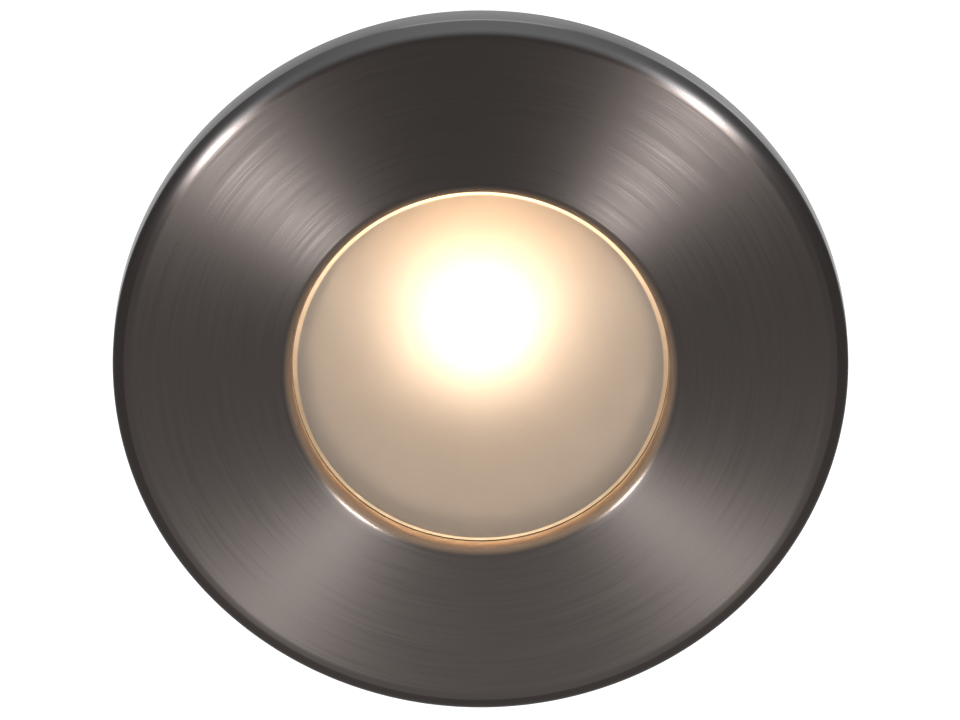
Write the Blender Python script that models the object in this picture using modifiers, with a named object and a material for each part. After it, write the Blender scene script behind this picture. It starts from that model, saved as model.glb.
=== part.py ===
"""A round recessed LED step light: trim disc, frosted lens, finned housing, spring clips, driver and gland.

Every piece is modelled in the light's own frame and carried by one empty: x to the right, y up and z
out of the wall, with the origin at the centre of the wall's cut-out, on the wall's surface. The empty
turns that frame so that the light faces -Y and the wall is the plane y = 0. Lengths are in metres.
"""

import math

import bmesh
import bpy
from mathutils import Matrix, Vector

NAME = "Step light"

# Fits
SEAT_GAP = 0.0003
SIDE_GAP = 0.0004
SCREW_CLEARANCE = 0.0003
PIN_CLEARANCE = 0.0002
CUT_OVERRUN = 0.001
JOIN_OVERLAP = 0.0008
WELD = 0.000001

# Facets
TRIM_STEPS = 64
BODY_STEPS = 44
RING_STEPS = 36
SMALL_STEPS = 16
SCREW_STEPS = 10
FILLET_STEPS = 3
SHARP_ANGLE = math.radians(35)

# Trim disc
CUTOUT_CLEARANCE = 0.0023
TRIM_LAP = 0.0070
TRIM_EDGE_HEIGHT = 0.0048
TRIM_CROWN = 0.0010
TRIM_EDGE_FILLET = 0.0010
TRIM_LIP_FILLET = 0.0013
TRIM_BORE_RADIUS = 0.02275
TRIM_BORE_WALL = 0.0009
TRIM_REVEAL = 0.0004
TRIM_RIM_WIDTH = 0.0012
TRIM_HUB_CLEARANCE = 0.0007
TRIM_CHAMFER = 0.0004
FACE_STEPS = 3

# Seals
WALL_GASKET_THICKNESS = 0.0011
WALL_GASKET_LAP = 0.0005
LENS_GASKET_THICKNESS = 0.0008
LENS_SEAL_THICKNESS = 0.0008
REAR_SEAL_THICKNESS = 0.0010
REAR_SEAL_WIDTH = 0.0013

# Lens
LENS_BOSS_HEIGHT = 0.0019
LENS_FLANGE_THICKNESS = 0.0016
LENS_FLANGE_WIDTH = 0.0020
LENS_BEVEL = 0.0006

# Housing
FLANGE_THICKNESS = 0.0030
FLANGE_CHAMFER = 0.0005
OPTIC_MARGIN = 0.00045
OPTIC_DEPTH = 0.0178
COUNTERBORE_STEP = 0.0020
BARREL_WALL = 0.0024
PLATFORM_THICKNESS = 0.0040
BARREL_CHAMFER = 0.0005

# Fins
FIN_COUNT = 24
FIN_DEPTH = 0.0051
FIN_LENGTH = 0.0232
FIN_ROOT_WIDTH = 0.0019
FIN_TIP_WIDTH = 0.0012
FIN_SINK = 0.0010

# Clip ears
EAR_HEIGHT = 0.0057
EAR_LUG_THICKNESS = 0.0020
EAR_SLOT_WIDTH = 0.0124
EAR_GUSSET = 0.0075
EAR_LUG_MARGIN = 0.00135
EAR_PAD_MARGIN = 0.0004

# Clips
PIN_SETBACK = 0.0162
PIN_RADIUS = 0.00125
PIN_HEAD_RADIUS = 0.0019
PIN_HEAD_THICKNESS = 0.0008
LEAF_THICKNESS = 0.0008
LEAF_ANGLE = math.radians(20)
LEAF_TIP_WIDTH = 0.0100
LEAF_CHEEK_LENGTH = 0.0085
PAD_THICKNESS = 0.0032
PAD_LENGTH = 0.0070
PAD_SIDE = 0.0009
SPRING_WIRE = 0.0009
SPRING_RADIUS = 0.00235
SPRING_TURNS = 4
SPRING_PITCH = 0.0014
SPRING_POINTS = 9
SPRING_FIXED_LEG = 0.0070
SPRING_MOVING_LEG = 0.0090
SPRING_BEND_RADIUS = 0.0010

# Screws: shaft radius, length, head radius and head height
TRIM_SCREW_EDGE = 0.0029
TRIM_SCREW_FIN_GAP = 0.0002
TRIM_SCREW = (0.00145, 0.0065, 0.0026, 0.0018)
BOARD_SCREW_EDGE = 0.0022
BOARD_SCREW = (0.00100, 0.0044, 0.0018, 0.0013)
DRIVER_SCREW_EDGE = 0.0040
DRIVER_SCREW = (0.00100, 0.0036, 0.0018, 0.0013)
COVER_SCREW_OFFSET = 0.0022
COVER_SCREW = (0.00145, 0.0085, 0.0026, 0.0018)
GROUND_SCREW = (0.00145, 0.0030, 0.0028, 0.0018)
SOCKET_SHARE = 0.55
SOCKET_DEPTH_SHARE = 0.6
HOLE_END_GAP = 0.0006

# Light source and its cup
THERMAL_PAD_THICKNESS = 0.0005
THERMAL_PAD_SETBACK = 0.0034
LED_BOARD_SETBACK = 0.0005
LED_BOARD_THICKNESS = 0.0016
EMITTER_SIDE = 0.0070
EMITTER_THICKNESS = 0.0010
EMITTER_DOME_RADIUS = 0.0026
EMITTER_DOME_HEIGHT = 0.0019
REFLECTOR_WALL = 0.0008
REFLECTOR_MARGIN = 0.0014
REFLECTOR_THROAT_RADIUS = 0.0063
REFLECTOR_STANDOFF = 0.0009
REFLECTOR_CURVE = 1.5
REFLECTOR_STEPS = 4

# Leads between the two boards
LEAD_RADIUS = 0.00055
LEAD_SPACING = 0.0019
LEAD_PAD_SETBACK = 0.0024
LEAD_HOLE_MARGIN = 0.0005
LEAD_HOLE_RADIUS = 0.0019
LEAD_RISE = 0.0012
LEAD_BEND = 0.0010
LEAD_TAIL = 0.0016
LEAD_END_SETBACK = 0.0030
LEAD_ANGLE = math.radians(225)
BEND_STEPS = 3

# Driver
STANDOFF_HEIGHT = 0.0026
STANDOFF_RADIUS = 0.0024
DRIVER_BOARD_RADIUS = 0.0195
DRIVER_BOARD_MARGIN = 0.0015
DRIVER_BOARD_THICKNESS = 0.0016
INSULATOR_LAP = 0.0007
INSULATOR_THICKNESS = 0.0005
CORE_SIZE = (0.0124, 0.0054, 0.0120)
CORE_PLACE = (-0.0046, 0.0054)
CORE_CLEARANCE = 0.0007
CORE_LEG = 0.0030
CORE_YOKE = 0.0022
CORE_OUTER_LEG = 0.0020
WINDING_DEPTH = 0.0104
WINDING_CORNER = 0.0022
TERMINAL_SIZE = (0.0138, 0.0074, 0.0090)
TERMINAL_PLACE = (0.0, -0.0122)
TERMINAL_WAYS = 3
TERMINAL_PITCH = 0.0043
TERMINAL_SCREW_RADIUS = 0.0014
TERMINAL_WELL_DEPTH = 0.0030
TERMINAL_MOUTH = (0.0030, 0.0044, 0.0028)
TERMINAL_MOUTH_SHARE = 0.17
INPUT_CAPACITOR = (0.0038, 0.0118)
INPUT_CAPACITOR_PLACE = (0.0104, 0.0064)
OUTPUT_CAPACITOR = (0.0032, 0.0098)
OUTPUT_CAPACITOR_PLACE = (0.0116, -0.0060)
CAPACITOR_GROOVE = 0.0004
CAPACITOR_CRIMP = 0.0018
CHOKE_RADIUS = 0.0022
CHOKE_TUBE = 0.0011
CHOKE_PLACE = (-0.0125, -0.0054)
FUSE_RADIUS = 0.0015
FUSE_LENGTH = 0.0070
FUSE_CAP_LENGTH = 0.0018
FUSE_CAP_STEP = 0.00025
FUSE_PLACE = (0.0054, 0.0134)
VARISTOR_RADIUS = 0.0029
VARISTOR_THICKNESS = 0.0022
VARISTOR_PLACE = (-0.0046, 0.0140)
RECTIFIER_SIZE = (0.0046, 0.0054, 0.0028)
RECTIFIER_PLACE = (0.0050, -0.0022)
CHIP_SIZE = (0.0050, 0.0040, 0.0016)
CHIP_PLACE = (-0.0034, -0.0048)
PART_BEVEL = 0.0003

# Rear cover
COVER_THICKNESS = 0.0030
COVER_SPIGOT_LENGTH = 0.0025
COVER_SPIGOT_WALL = 0.0016
COVER_CHAMFER = 0.0006
COVER_LUG_RADIUS = 0.0032
COVER_LUG_LENGTH = 0.0090
COVER_LUG_TAPER_SHARE = 0.35
COVER_LUG_SETBACK = 0.0002
COVER_RIB_COUNT = 6
COVER_RIB_WIDTH = 0.0012
COVER_RIB_HEIGHT = 0.0008
COVER_RIB_SETBACK = 0.0019
COVER_RING_RADIUS = 0.0112
GROUND_PLACE = (-0.0116, -0.0044)
GROUND_BOSS_RADIUS = 0.0034
GROUND_BOSS_HEIGHT = 0.0014

# Cable gland
GLAND_BORE_RADIUS = 0.0035
GLAND_THREAD_RADIUS = 0.0058
GLAND_HEX_RADIUS = 0.0082
GLAND_HEX_THICKNESS = 0.0032
GLAND_INNER_THREAD = 0.0042
GLAND_OUTER_THREAD = 0.0062
GLAND_SEAL_WALL = 0.0012
GLAND_SEAL_LENGTH = 0.0050
GLAND_SEAL_SEAT = 0.0044
GLAND_LOCKNUT_THICKNESS = 0.0026
GLAND_LOCKNUT_RADIUS = 0.0086
GLAND_NUT_HEX_LENGTH = 0.0050
GLAND_NUT_DOME_LENGTH = 0.0040
GLAND_NUT_END_WALL = 0.0018
HEX = 6

# Places along z, front to back, each from the one before
LIP_FRONT = TRIM_EDGE_HEIGHT + TRIM_CROWN
LIP_BACK = LIP_FRONT - TRIM_LIP_FILLET - TRIM_BORE_WALL
LENS_GASKET_FRONT = LIP_BACK - SEAT_GAP
LENS_FLANGE_FRONT = LENS_GASKET_FRONT - LENS_GASKET_THICKNESS - SEAT_GAP
LENS_FRONT = LENS_FLANGE_FRONT + LENS_BOSS_HEIGHT
LENS_BACK = LENS_FLANGE_FRONT - LENS_FLANGE_THICKNESS
LENS_SEAL_FRONT = LENS_BACK - SEAT_GAP
HUB_BACK = LENS_SEAL_FRONT - LENS_SEAL_THICKNESS
HOUSING_FRONT = HUB_BACK - SEAT_GAP
FLANGE_BACK = HOUSING_FRONT - FLANGE_THICKNESS
COUNTERBORE_FLOOR = HOUSING_FRONT - REFLECTOR_WALL - SEAT_GAP
PLATFORM_FRONT = HOUSING_FRONT - OPTIC_DEPTH
PLATFORM_BACK = PLATFORM_FRONT - PLATFORM_THICKNESS
LED_BOARD_BACK = PLATFORM_FRONT + THERMAL_PAD_THICKNESS + SEAT_GAP + SEAT_GAP
LED_BOARD_FRONT = LED_BOARD_BACK + LED_BOARD_THICKNESS
DRIVER_BOARD_FRONT = PLATFORM_BACK - STANDOFF_HEIGHT - SEAT_GAP
DRIVER_BOARD_BACK = DRIVER_BOARD_FRONT - DRIVER_BOARD_THICKNESS
PART_FOOT = DRIVER_BOARD_BACK - SEAT_GAP
BARREL_BACK = PART_FOOT - CORE_SIZE[2] - CORE_CLEARANCE - GLAND_INNER_THREAD + SEAT_GAP
REAR_SEAL_FRONT = BARREL_BACK + REAR_SEAL_THICKNESS
COVER_FRONT = BARREL_BACK - SEAT_GAP
COVER_BACK = COVER_FRONT - COVER_THICKNESS
GLAND_HEX_FRONT = COVER_BACK - COVER_RIB_HEIGHT - SEAT_GAP
GLAND_HEX_BACK = GLAND_HEX_FRONT - GLAND_HEX_THICKNESS

# Radii, from the bore outwards, each from the one before
LENS_BOSS_RADIUS = TRIM_BORE_RADIUS - SEAT_GAP
LENS_FLANGE_RADIUS = LENS_BOSS_RADIUS + LENS_FLANGE_WIDTH
POCKET_RADIUS = LENS_FLANGE_RADIUS + SIDE_GAP
OPTIC_RADIUS = LENS_BOSS_RADIUS - OPTIC_MARGIN
COUNTERBORE_RADIUS = OPTIC_RADIUS + COUNTERBORE_STEP
CHAMBER_RADIUS = DRIVER_BOARD_RADIUS + DRIVER_BOARD_MARGIN
BARREL_BORE = max(OPTIC_RADIUS, CHAMBER_RADIUS)
BARREL_RADIUS = BARREL_BORE + BARREL_WALL
FIN_RADIUS = BARREL_RADIUS + FIN_DEPTH
EAR_FACE_RADIUS = BARREL_RADIUS + EAR_HEIGHT
TRIM_SCREW_CIRCLE = FIN_RADIUS + TRIM_SCREW_FIN_GAP + TRIM_SCREW[2]
FLANGE_RADIUS = TRIM_SCREW_CIRCLE + TRIM_SCREW_EDGE
CUTOUT_RADIUS = FLANGE_RADIUS + CUTOUT_CLEARANCE
HUB_RADIUS = CUTOUT_RADIUS - TRIM_HUB_CLEARANCE
TRIM_RADIUS = CUTOUT_RADIUS + TRIM_LAP

# Radii inside, from the narrower of the two chambers inwards
REBATE_RADIUS = CHAMBER_RADIUS + REAR_SEAL_WIDTH + SEAT_GAP
INSULATOR_RADIUS = DRIVER_BOARD_RADIUS + INSULATOR_LAP
DRIVER_SCREW_CIRCLE = DRIVER_BOARD_RADIUS - DRIVER_SCREW_EDGE
REFLECTOR_MOUTH_RADIUS = OPTIC_RADIUS - REFLECTOR_MARGIN
LEAD_HOLE_CIRCLE = min(OPTIC_RADIUS, CHAMBER_RADIUS) - LEAD_HOLE_RADIUS - LEAD_HOLE_MARGIN
LEAD_END_CIRCLE = LEAD_HOLE_CIRCLE - LEAD_END_SETBACK
LED_BOARD_RADIUS = LEAD_HOLE_CIRCLE - LEAD_HOLE_RADIUS - LED_BOARD_SETBACK
LEAD_PAD_CIRCLE = LED_BOARD_RADIUS - LEAD_PAD_SETBACK
BOARD_SCREW_CIRCLE = LED_BOARD_RADIUS - BOARD_SCREW_EDGE
THERMAL_PAD_RADIUS = BOARD_SCREW_CIRCLE - BOARD_SCREW[0] - THERMAL_PAD_SETBACK
COVER_SCREW_CIRCLE = BARREL_RADIUS + COVER_SCREW_OFFSET
COVER_RIB_OUTER_RADIUS = BARREL_RADIUS - COVER_RIB_SETBACK

# Clips
PIN_Z = FLANGE_BACK - PIN_SETBACK
PIN_X = EAR_FACE_RADIUS + SEAT_GAP + SPRING_WIRE / 2 + SPRING_RADIUS
LUG_RADIUS = PIN_RADIUS + EAR_LUG_MARGIN
LUG_INNER = EAR_SLOT_WIDTH / 2
LUG_OUTER = LUG_INNER + EAR_LUG_THICKNESS
CHEEK_OUTER = LUG_INNER - SEAT_GAP
LEAF_RISE = SPRING_RADIUS - SPRING_WIRE / 2 - SEAT_GAP - LEAF_THICKNESS / 2

# Angles of the screws round the axis
TRIM_SCREW_ANGLES = [math.radians(degrees) for degrees in (90, 210, 330)]
BOARD_SCREW_ANGLES = [math.radians(degrees) for degrees in (30, 150, 270)]
DRIVER_SCREW_ANGLES = [math.radians(degrees) for degrees in (0, 180)]
COVER_SCREW_ANGLES = [math.radians(degrees) for degrees in (30, 150, 270)]
QUARTER = math.radians(90)
HALF_TURN = math.radians(180)
FULL_TURN = math.radians(360)
SIXTH = math.radians(60)
TWELFTH = math.radians(30)

# Finishes: colour, roughness, metallic
FINISHES = {
    "dark_nickel": ((0.17, 0.155, 0.15), 0.38, 1.0),
    "frosted_glass": ((0.86, 0.76, 0.64), 0.55, 0.0),
    "cast_aluminium": ((0.32, 0.32, 0.33), 0.55, 1.0),
    "spun_aluminium": ((0.86, 0.86, 0.86), 0.15, 1.0),
    "zinc_steel": ((0.62, 0.62, 0.60), 0.35, 1.0),
    "spring_steel": ((0.52, 0.52, 0.53), 0.28, 1.0),
    "black_rubber": ((0.03, 0.03, 0.03), 0.8, 0.0),
    "grey_pad": ((0.45, 0.46, 0.50), 0.8, 0.0),
    "white_mask": ((0.86, 0.86, 0.84), 0.5, 0.0),
    "green_mask": ((0.04, 0.22, 0.10), 0.45, 0.0),
    "phosphor": ((0.95, 0.80, 0.35), 0.5, 0.0),
    "red_wire": ((0.60, 0.04, 0.03), 0.5, 0.0),
    "black_wire": ((0.03, 0.03, 0.03), 0.5, 0.0),
    "fibre": ((0.70, 0.68, 0.60), 0.8, 0.0),
    "ferrite": ((0.10, 0.10, 0.11), 0.6, 0.0),
    "yellow_tape": ((0.80, 0.62, 0.10), 0.6, 0.0),
    "black_plastic": ((0.04, 0.04, 0.045), 0.5, 0.0),
    "blue_coating": ((0.05, 0.14, 0.42), 0.5, 0.0),
    "copper": ((0.72, 0.38, 0.22), 0.35, 1.0),
    "green_plastic": ((0.06, 0.32, 0.14), 0.5, 0.0),
    "green_screw": ((0.10, 0.36, 0.16), 0.4, 1.0),
}


def clear_scene():
    """Removes what a new Blender file holds."""
    for thing in list(bpy.data.objects):
        bpy.data.objects.remove(thing, do_unlink=True)


def new_collection(name):
    """A collection linked to the scene."""
    collection = bpy.data.collections.new(name)
    bpy.context.scene.collection.children.link(collection)
    return collection


clear_scene()
PARTS = new_collection(NAME)
CUTTERS = new_collection("Cutters")
FRAME = bpy.data.objects.new("light_frame", None)
FRAME.rotation_euler = (QUARTER, 0, 0)
PARTS.objects.link(FRAME)


def make_materials():
    """One Principled material for each finish."""
    materials = {}
    for name, (colour, roughness, metallic) in FINISHES.items():
        material = bpy.data.materials.new(name)
        material.use_nodes = True
        shader = material.node_tree.nodes["Principled BSDF"]
        shader.inputs["Base Color"].default_value = (*colour, 1)
        shader.inputs["Roughness"].default_value = roughness
        shader.inputs["Metallic"].default_value = metallic
        material.diffuse_color = (*colour, 1)
        materials[name] = material
    return materials


MATERIALS = make_materials()


# Making and placing

def place(thing, parent=FRAME, location=(0, 0, 0), rotation=(0, 0, 0)):
    """Hangs an object on its parent at a place in the parent's frame."""
    thing.parent = parent
    thing.location = location
    thing.rotation_euler = rotation
    return thing


def add_object(name, mesh, parent=FRAME, location=(0, 0, 0), rotation=(0, 0, 0)):
    """A mesh object in the parts' collection."""
    thing = bpy.data.objects.new(name, mesh)
    PARTS.objects.link(thing)
    return place(thing, parent, location, rotation)


def finish(thing, material):
    """Gives a piece its material and smooth shading with sharp edges kept."""
    if not thing.data.materials:
        thing.data.materials.append(MATERIALS[material])
    thing.data.shade_smooth()
    thing.data.set_sharp_from_angle(angle=SHARP_ANGLE)
    return thing


def as_cutter(thing):
    """Moves an object to the cutters' collection, where it is only a guide."""
    for collection in list(thing.users_collection):
        collection.objects.unlink(thing)
    CUTTERS.objects.link(thing)
    thing.hide_render = True
    thing.display_type = "WIRE"
    return thing


def boolean(target, tool, operation="DIFFERENCE"):
    """Cuts the target with the tool, or joins the tool to it."""
    as_cutter(tool)
    modifier = target.modifiers.new(f"{operation.lower()} {tool.name}", "BOOLEAN")
    modifier.operation = operation
    modifier.solver = "EXACT"
    modifier.object = tool
    return target


def join(target, *tools):
    """Joins every tool to the target."""
    for tool in tools:
        boolean(target, tool, "UNION")
    return target


def cut(target, *tools):
    """Cuts every tool out of the target."""
    for tool in tools:
        boolean(target, tool, "DIFFERENCE")
    return target


def evaluated_mesh(thing):
    """A welded copy of an object's mesh as its modifiers leave it."""
    bpy.context.view_layer.update()
    graph = bpy.context.evaluated_depsgraph_get()
    mesh = bpy.data.meshes.new_from_object(thing.evaluated_get(graph))
    shape = bmesh.new()
    shape.from_mesh(mesh)
    bmesh.ops.remove_doubles(shape, verts=shape.verts, dist=WELD)
    bmesh.ops.recalc_face_normals(shape, faces=shape.faces)
    shape.to_mesh(mesh)
    shape.free()
    return mesh


def on_circle(radius, angle, z=0.0):
    """The point at a radius and an angle round the axis."""
    return Vector((radius * math.cos(angle), radius * math.sin(angle), z))


def arc(centre, radius, start, end, steps=FILLET_STEPS):
    """Points of an arc in a plane, both ends included; angles in radians."""
    turn = (end - start) / steps
    return [
        (centre[0] + radius * math.cos(start + turn * i), centre[1] + radius * math.sin(start + turn * i))
        for i in range(steps + 1)
    ]


def turned(name, profile, steps, closed=True, **where):
    """A turned piece: a profile of (radius, z) points swept round Z.

    A closed profile makes a ring. An open one starts and ends on the axis. The points run down the
    outer side, top to bottom.
    """
    mesh = bpy.data.meshes.new(name)
    points = [(radius, 0, z) for radius, z in profile]
    edges = [(i, i + 1) for i in range(len(points) - 1)]
    if closed:
        edges.append((len(points) - 1, 0))
    mesh.from_pydata(points, edges, [])
    thing = add_object(name, mesh, **where)
    screw = thing.modifiers.new("turn", "SCREW")
    screw.axis = "Z"
    screw.angle = FULL_TURN
    screw.steps = steps
    screw.render_steps = steps
    screw.use_merge_vertices = True
    screw.merge_threshold = WELD
    return thing


def flat_outline(name, outlines, thickness, **where):
    """A plate: outlines in the object's own x and y, made solid about z = 0. Later ones are holes."""
    curve = bpy.data.curves.new(name, "CURVE")
    curve.dimensions = "2D"
    curve.fill_mode = "BOTH"
    curve.extrude = thickness / 2
    for outline in outlines:
        spline = curve.splines.new("POLY")
        spline.points.add(len(outline) - 1)
        for point, (x, y) in zip(spline.points, outline):
            point.co = (x, y, 0, 1)
        spline.use_cyclic_u = True
    source = add_object(name + " outline", curve)
    mesh = evaluated_mesh(source)
    bpy.data.objects.remove(source, do_unlink=True)
    bpy.data.curves.remove(curve)
    mesh.name = name
    return add_object(name, mesh, **where)


def box(name, size, **where):
    """A box about its own origin."""
    shape = bmesh.new()
    bmesh.ops.create_cube(shape, size=1, matrix=Matrix.Diagonal((*size, 1)))
    mesh = bpy.data.meshes.new(name)
    shape.to_mesh(mesh)
    shape.free()
    return add_object(name, mesh, **where)


def cone(name, radius, top_radius, height, steps=SMALL_STEPS, **where):
    """A cylinder or cone about its own origin, along its own z."""
    shape = bmesh.new()
    bmesh.ops.create_cone(
        shape, cap_ends=True, segments=steps, radius1=radius, radius2=top_radius, depth=height
    )
    mesh = bpy.data.meshes.new(name)
    shape.to_mesh(mesh)
    shape.free()
    return add_object(name, mesh, **where)


def rod(name, radius, z_low, z_high, x=0.0, y=0.0, steps=SMALL_STEPS, **where):
    """A cylinder along z between two heights."""
    middle = (z_low + z_high) / 2
    return cone(name, radius, radius, z_high - z_low, steps, location=(x, y, middle), **where)


def bevelled(thing, width, segments=1):
    """Rounds a piece's edges."""
    modifier = thing.modifiers.new("edges", "BEVEL")
    modifier.width = width
    modifier.segments = segments
    modifier.limit_method = "ANGLE"
    modifier.angle_limit = SHARP_ANGLE
    return thing


def ring_profile(inner, outer, back, front):
    """The closed profile of a flat ring."""
    return [(outer, front), (outer, back), (inner, back), (inner, front)]


def tube(name, points, radius, material, parent=FRAME, **where):
    """A round wire through a list of points, with closed ends."""
    curve = bpy.data.curves.new(name, "CURVE")
    curve.dimensions = "3D"
    curve.bevel_depth = radius
    curve.bevel_resolution = 1
    curve.use_fill_caps = True
    curve.twist_mode = "MINIMUM"
    spline = curve.splines.new("POLY")
    spline.points.add(len(points) - 1)
    for point, place_of_point in zip(spline.points, points):
        point.co = (*place_of_point, 1)
    curve.materials.append(MATERIALS[material])
    thing = bpy.data.objects.new(name, curve)
    PARTS.objects.link(thing)
    return place(thing, parent, **where)


# Screws

def screw_mesh(name, sizes):
    """One pan head screw with a hex socket, its head above z = 0 and its shaft below."""
    shaft, length, head, height = sizes
    crown = [(0, height), (head * math.cos(QUARTER / 2), height), (head, height / 2), (head, 0)]
    tip = [(shaft, 0), (shaft, shaft - length), (shaft / 2, -length), (0, -length)]
    body = turned(name + " pattern", crown + tip, SCREW_STEPS, closed=False)
    depth = height * SOCKET_DEPTH_SHARE
    socket = rod(
        name + " socket", head * SOCKET_SHARE, height - depth, height + CUT_OVERRUN, steps=HEX
    )
    cut(body, socket)
    mesh = evaluated_mesh(body)
    mesh.name = name
    for used in (body, socket):
        bpy.data.objects.remove(used, do_unlink=True)
    return mesh


def screws(name, sizes, places, material, head_back=False):
    """Equal screws at places in the light's frame, each its own object."""
    mesh = screw_mesh(name, sizes)
    turn = (HALF_TURN, 0, 0) if head_back else (0, 0, 0)
    for number, spot in enumerate(places, start=1):
        label = name if len(places) == 1 else f"{name}_{number}"
        finish(add_object(label, mesh, location=spot, rotation=turn), material)


def screw_hole(name, sizes, spot, reach):
    """A cutter for a screw's shaft, from its place to a reach along z."""
    low, high = sorted((spot[2], spot[2] + reach))
    radius = sizes[0] + SCREW_CLEARANCE
    return rod(name, radius, low, high, spot[0], spot[1], SCREW_STEPS)


# Trim and seals

def face_height(radius):
    """Height of the trim's crowned face: a shallow dome that falls from the lip to the edge."""
    inner = TRIM_BORE_RADIUS + TRIM_LIP_FILLET
    outer = TRIM_RADIUS - TRIM_EDGE_FILLET
    share = (radius**2 - inner**2) / (outer**2 - inner**2)
    return LIP_FRONT - TRIM_CROWN * share


def trim_profile():
    """The trim's section, down the outer side and back up the bore."""
    inner = TRIM_BORE_RADIUS + TRIM_LIP_FILLET
    outer = TRIM_RADIUS - TRIM_EDGE_FILLET
    step = (outer - inner) / FACE_STEPS
    face = [(inner + step * i, face_height(inner + step * i)) for i in range(1, FACE_STEPS)]
    edge = arc((outer, TRIM_EDGE_HEIGHT - TRIM_EDGE_FILLET), TRIM_EDGE_FILLET, QUARTER, 0)
    gasket_seat = WALL_GASKET_THICKNESS + SEAT_GAP
    rim_inner = TRIM_RADIUS - TRIM_RIM_WIDTH
    back = [
        (TRIM_RADIUS, TRIM_REVEAL + TRIM_CHAMFER),
        (TRIM_RADIUS - TRIM_CHAMFER, TRIM_REVEAL),
        (rim_inner, TRIM_REVEAL),
        (rim_inner, gasket_seat),
        (HUB_RADIUS, gasket_seat),
        (HUB_RADIUS, HUB_BACK + TRIM_CHAMFER),
        (HUB_RADIUS - TRIM_CHAMFER, HUB_BACK),
        (POCKET_RADIUS, HUB_BACK),
        (POCKET_RADIUS, LIP_BACK),
        (TRIM_BORE_RADIUS, LIP_BACK),
    ]
    lip = arc((inner, LIP_FRONT - TRIM_LIP_FILLET), TRIM_LIP_FILLET, HALF_TURN, QUARTER)
    return face + edge + back + lip


def trim_screw_places():
    """Where the trim screws' heads rest, on the back of the housing's flange."""
    seat = FLANGE_BACK - SEAT_GAP
    return [on_circle(TRIM_SCREW_CIRCLE, angle, seat) for angle in TRIM_SCREW_ANGLES]


def make_trim():
    """The brushed trim disc, with blind holes in its hub for the screws from behind."""
    trim = turned("trim_ring", trim_profile(), TRIM_STEPS)
    depth = TRIM_SCREW[1] + HOLE_END_GAP
    for number, spot in enumerate(trim_screw_places(), start=1):
        cut(trim, screw_hole(f"trim hole {number}", TRIM_SCREW, spot, depth))
    finish(trim, "dark_nickel")


def make_seals():
    """The wall gasket, the two rings that hold the lens, and the rear cover's seal."""
    outer = TRIM_RADIUS - TRIM_RIM_WIDTH - SEAT_GAP
    rings = {
        "wall_gasket": (CUTOUT_RADIUS + WALL_GASKET_LAP, outer, 0.0, WALL_GASKET_THICKNESS),
        "lens_gasket": (
            LENS_BOSS_RADIUS + SEAT_GAP, POCKET_RADIUS - SEAT_GAP,
            LENS_GASKET_FRONT - LENS_GASKET_THICKNESS, LENS_GASKET_FRONT,
        ),
        "lens_seal": (LENS_BOSS_RADIUS, POCKET_RADIUS - SEAT_GAP, HUB_BACK, LENS_SEAL_FRONT),
        "rear_seal": (
            CHAMBER_RADIUS, CHAMBER_RADIUS + REAR_SEAL_WIDTH, BARREL_BACK, REAR_SEAL_FRONT,
        ),
    }
    for name, (inner, outside, back, front) in rings.items():
        steps = BODY_STEPS if name == "wall_gasket" else RING_STEPS
        finish(turned(name, ring_profile(inner, outside, back, front), steps), "black_rubber")


def make_lens():
    """The frosted lens: a boss that stands in the trim's bore and a flange behind the lip."""
    profile = [
        (0, LENS_FRONT),
        (LENS_BOSS_RADIUS - LENS_BEVEL, LENS_FRONT),
        (LENS_BOSS_RADIUS, LENS_FRONT - LENS_BEVEL),
        (LENS_BOSS_RADIUS, LENS_FLANGE_FRONT),
        (LENS_FLANGE_RADIUS, LENS_FLANGE_FRONT),
        (LENS_FLANGE_RADIUS, LENS_BACK + LENS_BEVEL),
        (LENS_FLANGE_RADIUS - LENS_BEVEL, LENS_BACK),
        (0, LENS_BACK),
    ]
    finish(turned("lens", profile, RING_STEPS, closed=False), "frosted_glass")


# Housing

def housing_profile():
    """The housing's turned core, from the platform's front out over the flange to its back."""
    return [
        (0, PLATFORM_FRONT),
        (OPTIC_RADIUS, PLATFORM_FRONT),
        (OPTIC_RADIUS, COUNTERBORE_FLOOR),
        (COUNTERBORE_RADIUS, COUNTERBORE_FLOOR),
        (COUNTERBORE_RADIUS, HOUSING_FRONT),
        (FLANGE_RADIUS - FLANGE_CHAMFER, HOUSING_FRONT),
        (FLANGE_RADIUS, HOUSING_FRONT - FLANGE_CHAMFER),
        (FLANGE_RADIUS, FLANGE_BACK),
        (BARREL_RADIUS, FLANGE_BACK),
        (BARREL_RADIUS, BARREL_BACK + BARREL_CHAMFER),
        (BARREL_RADIUS - BARREL_CHAMFER, BARREL_BACK),
        (REBATE_RADIUS, BARREL_BACK),
        (REBATE_RADIUS, REAR_SEAL_FRONT + SEAT_GAP),
        (CHAMBER_RADIUS, REAR_SEAL_FRONT + SEAT_GAP),
        (CHAMBER_RADIUS, PLATFORM_BACK),
        (0, PLATFORM_BACK),
    ]


def stands_clear(angle):
    """Whether a fin at this angle stands clear of the clip ears."""
    return abs(math.sin(angle)) * BARREL_RADIUS > LUG_OUTER + EAR_PAD_MARGIN + FIN_ROOT_WIDTH


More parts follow.
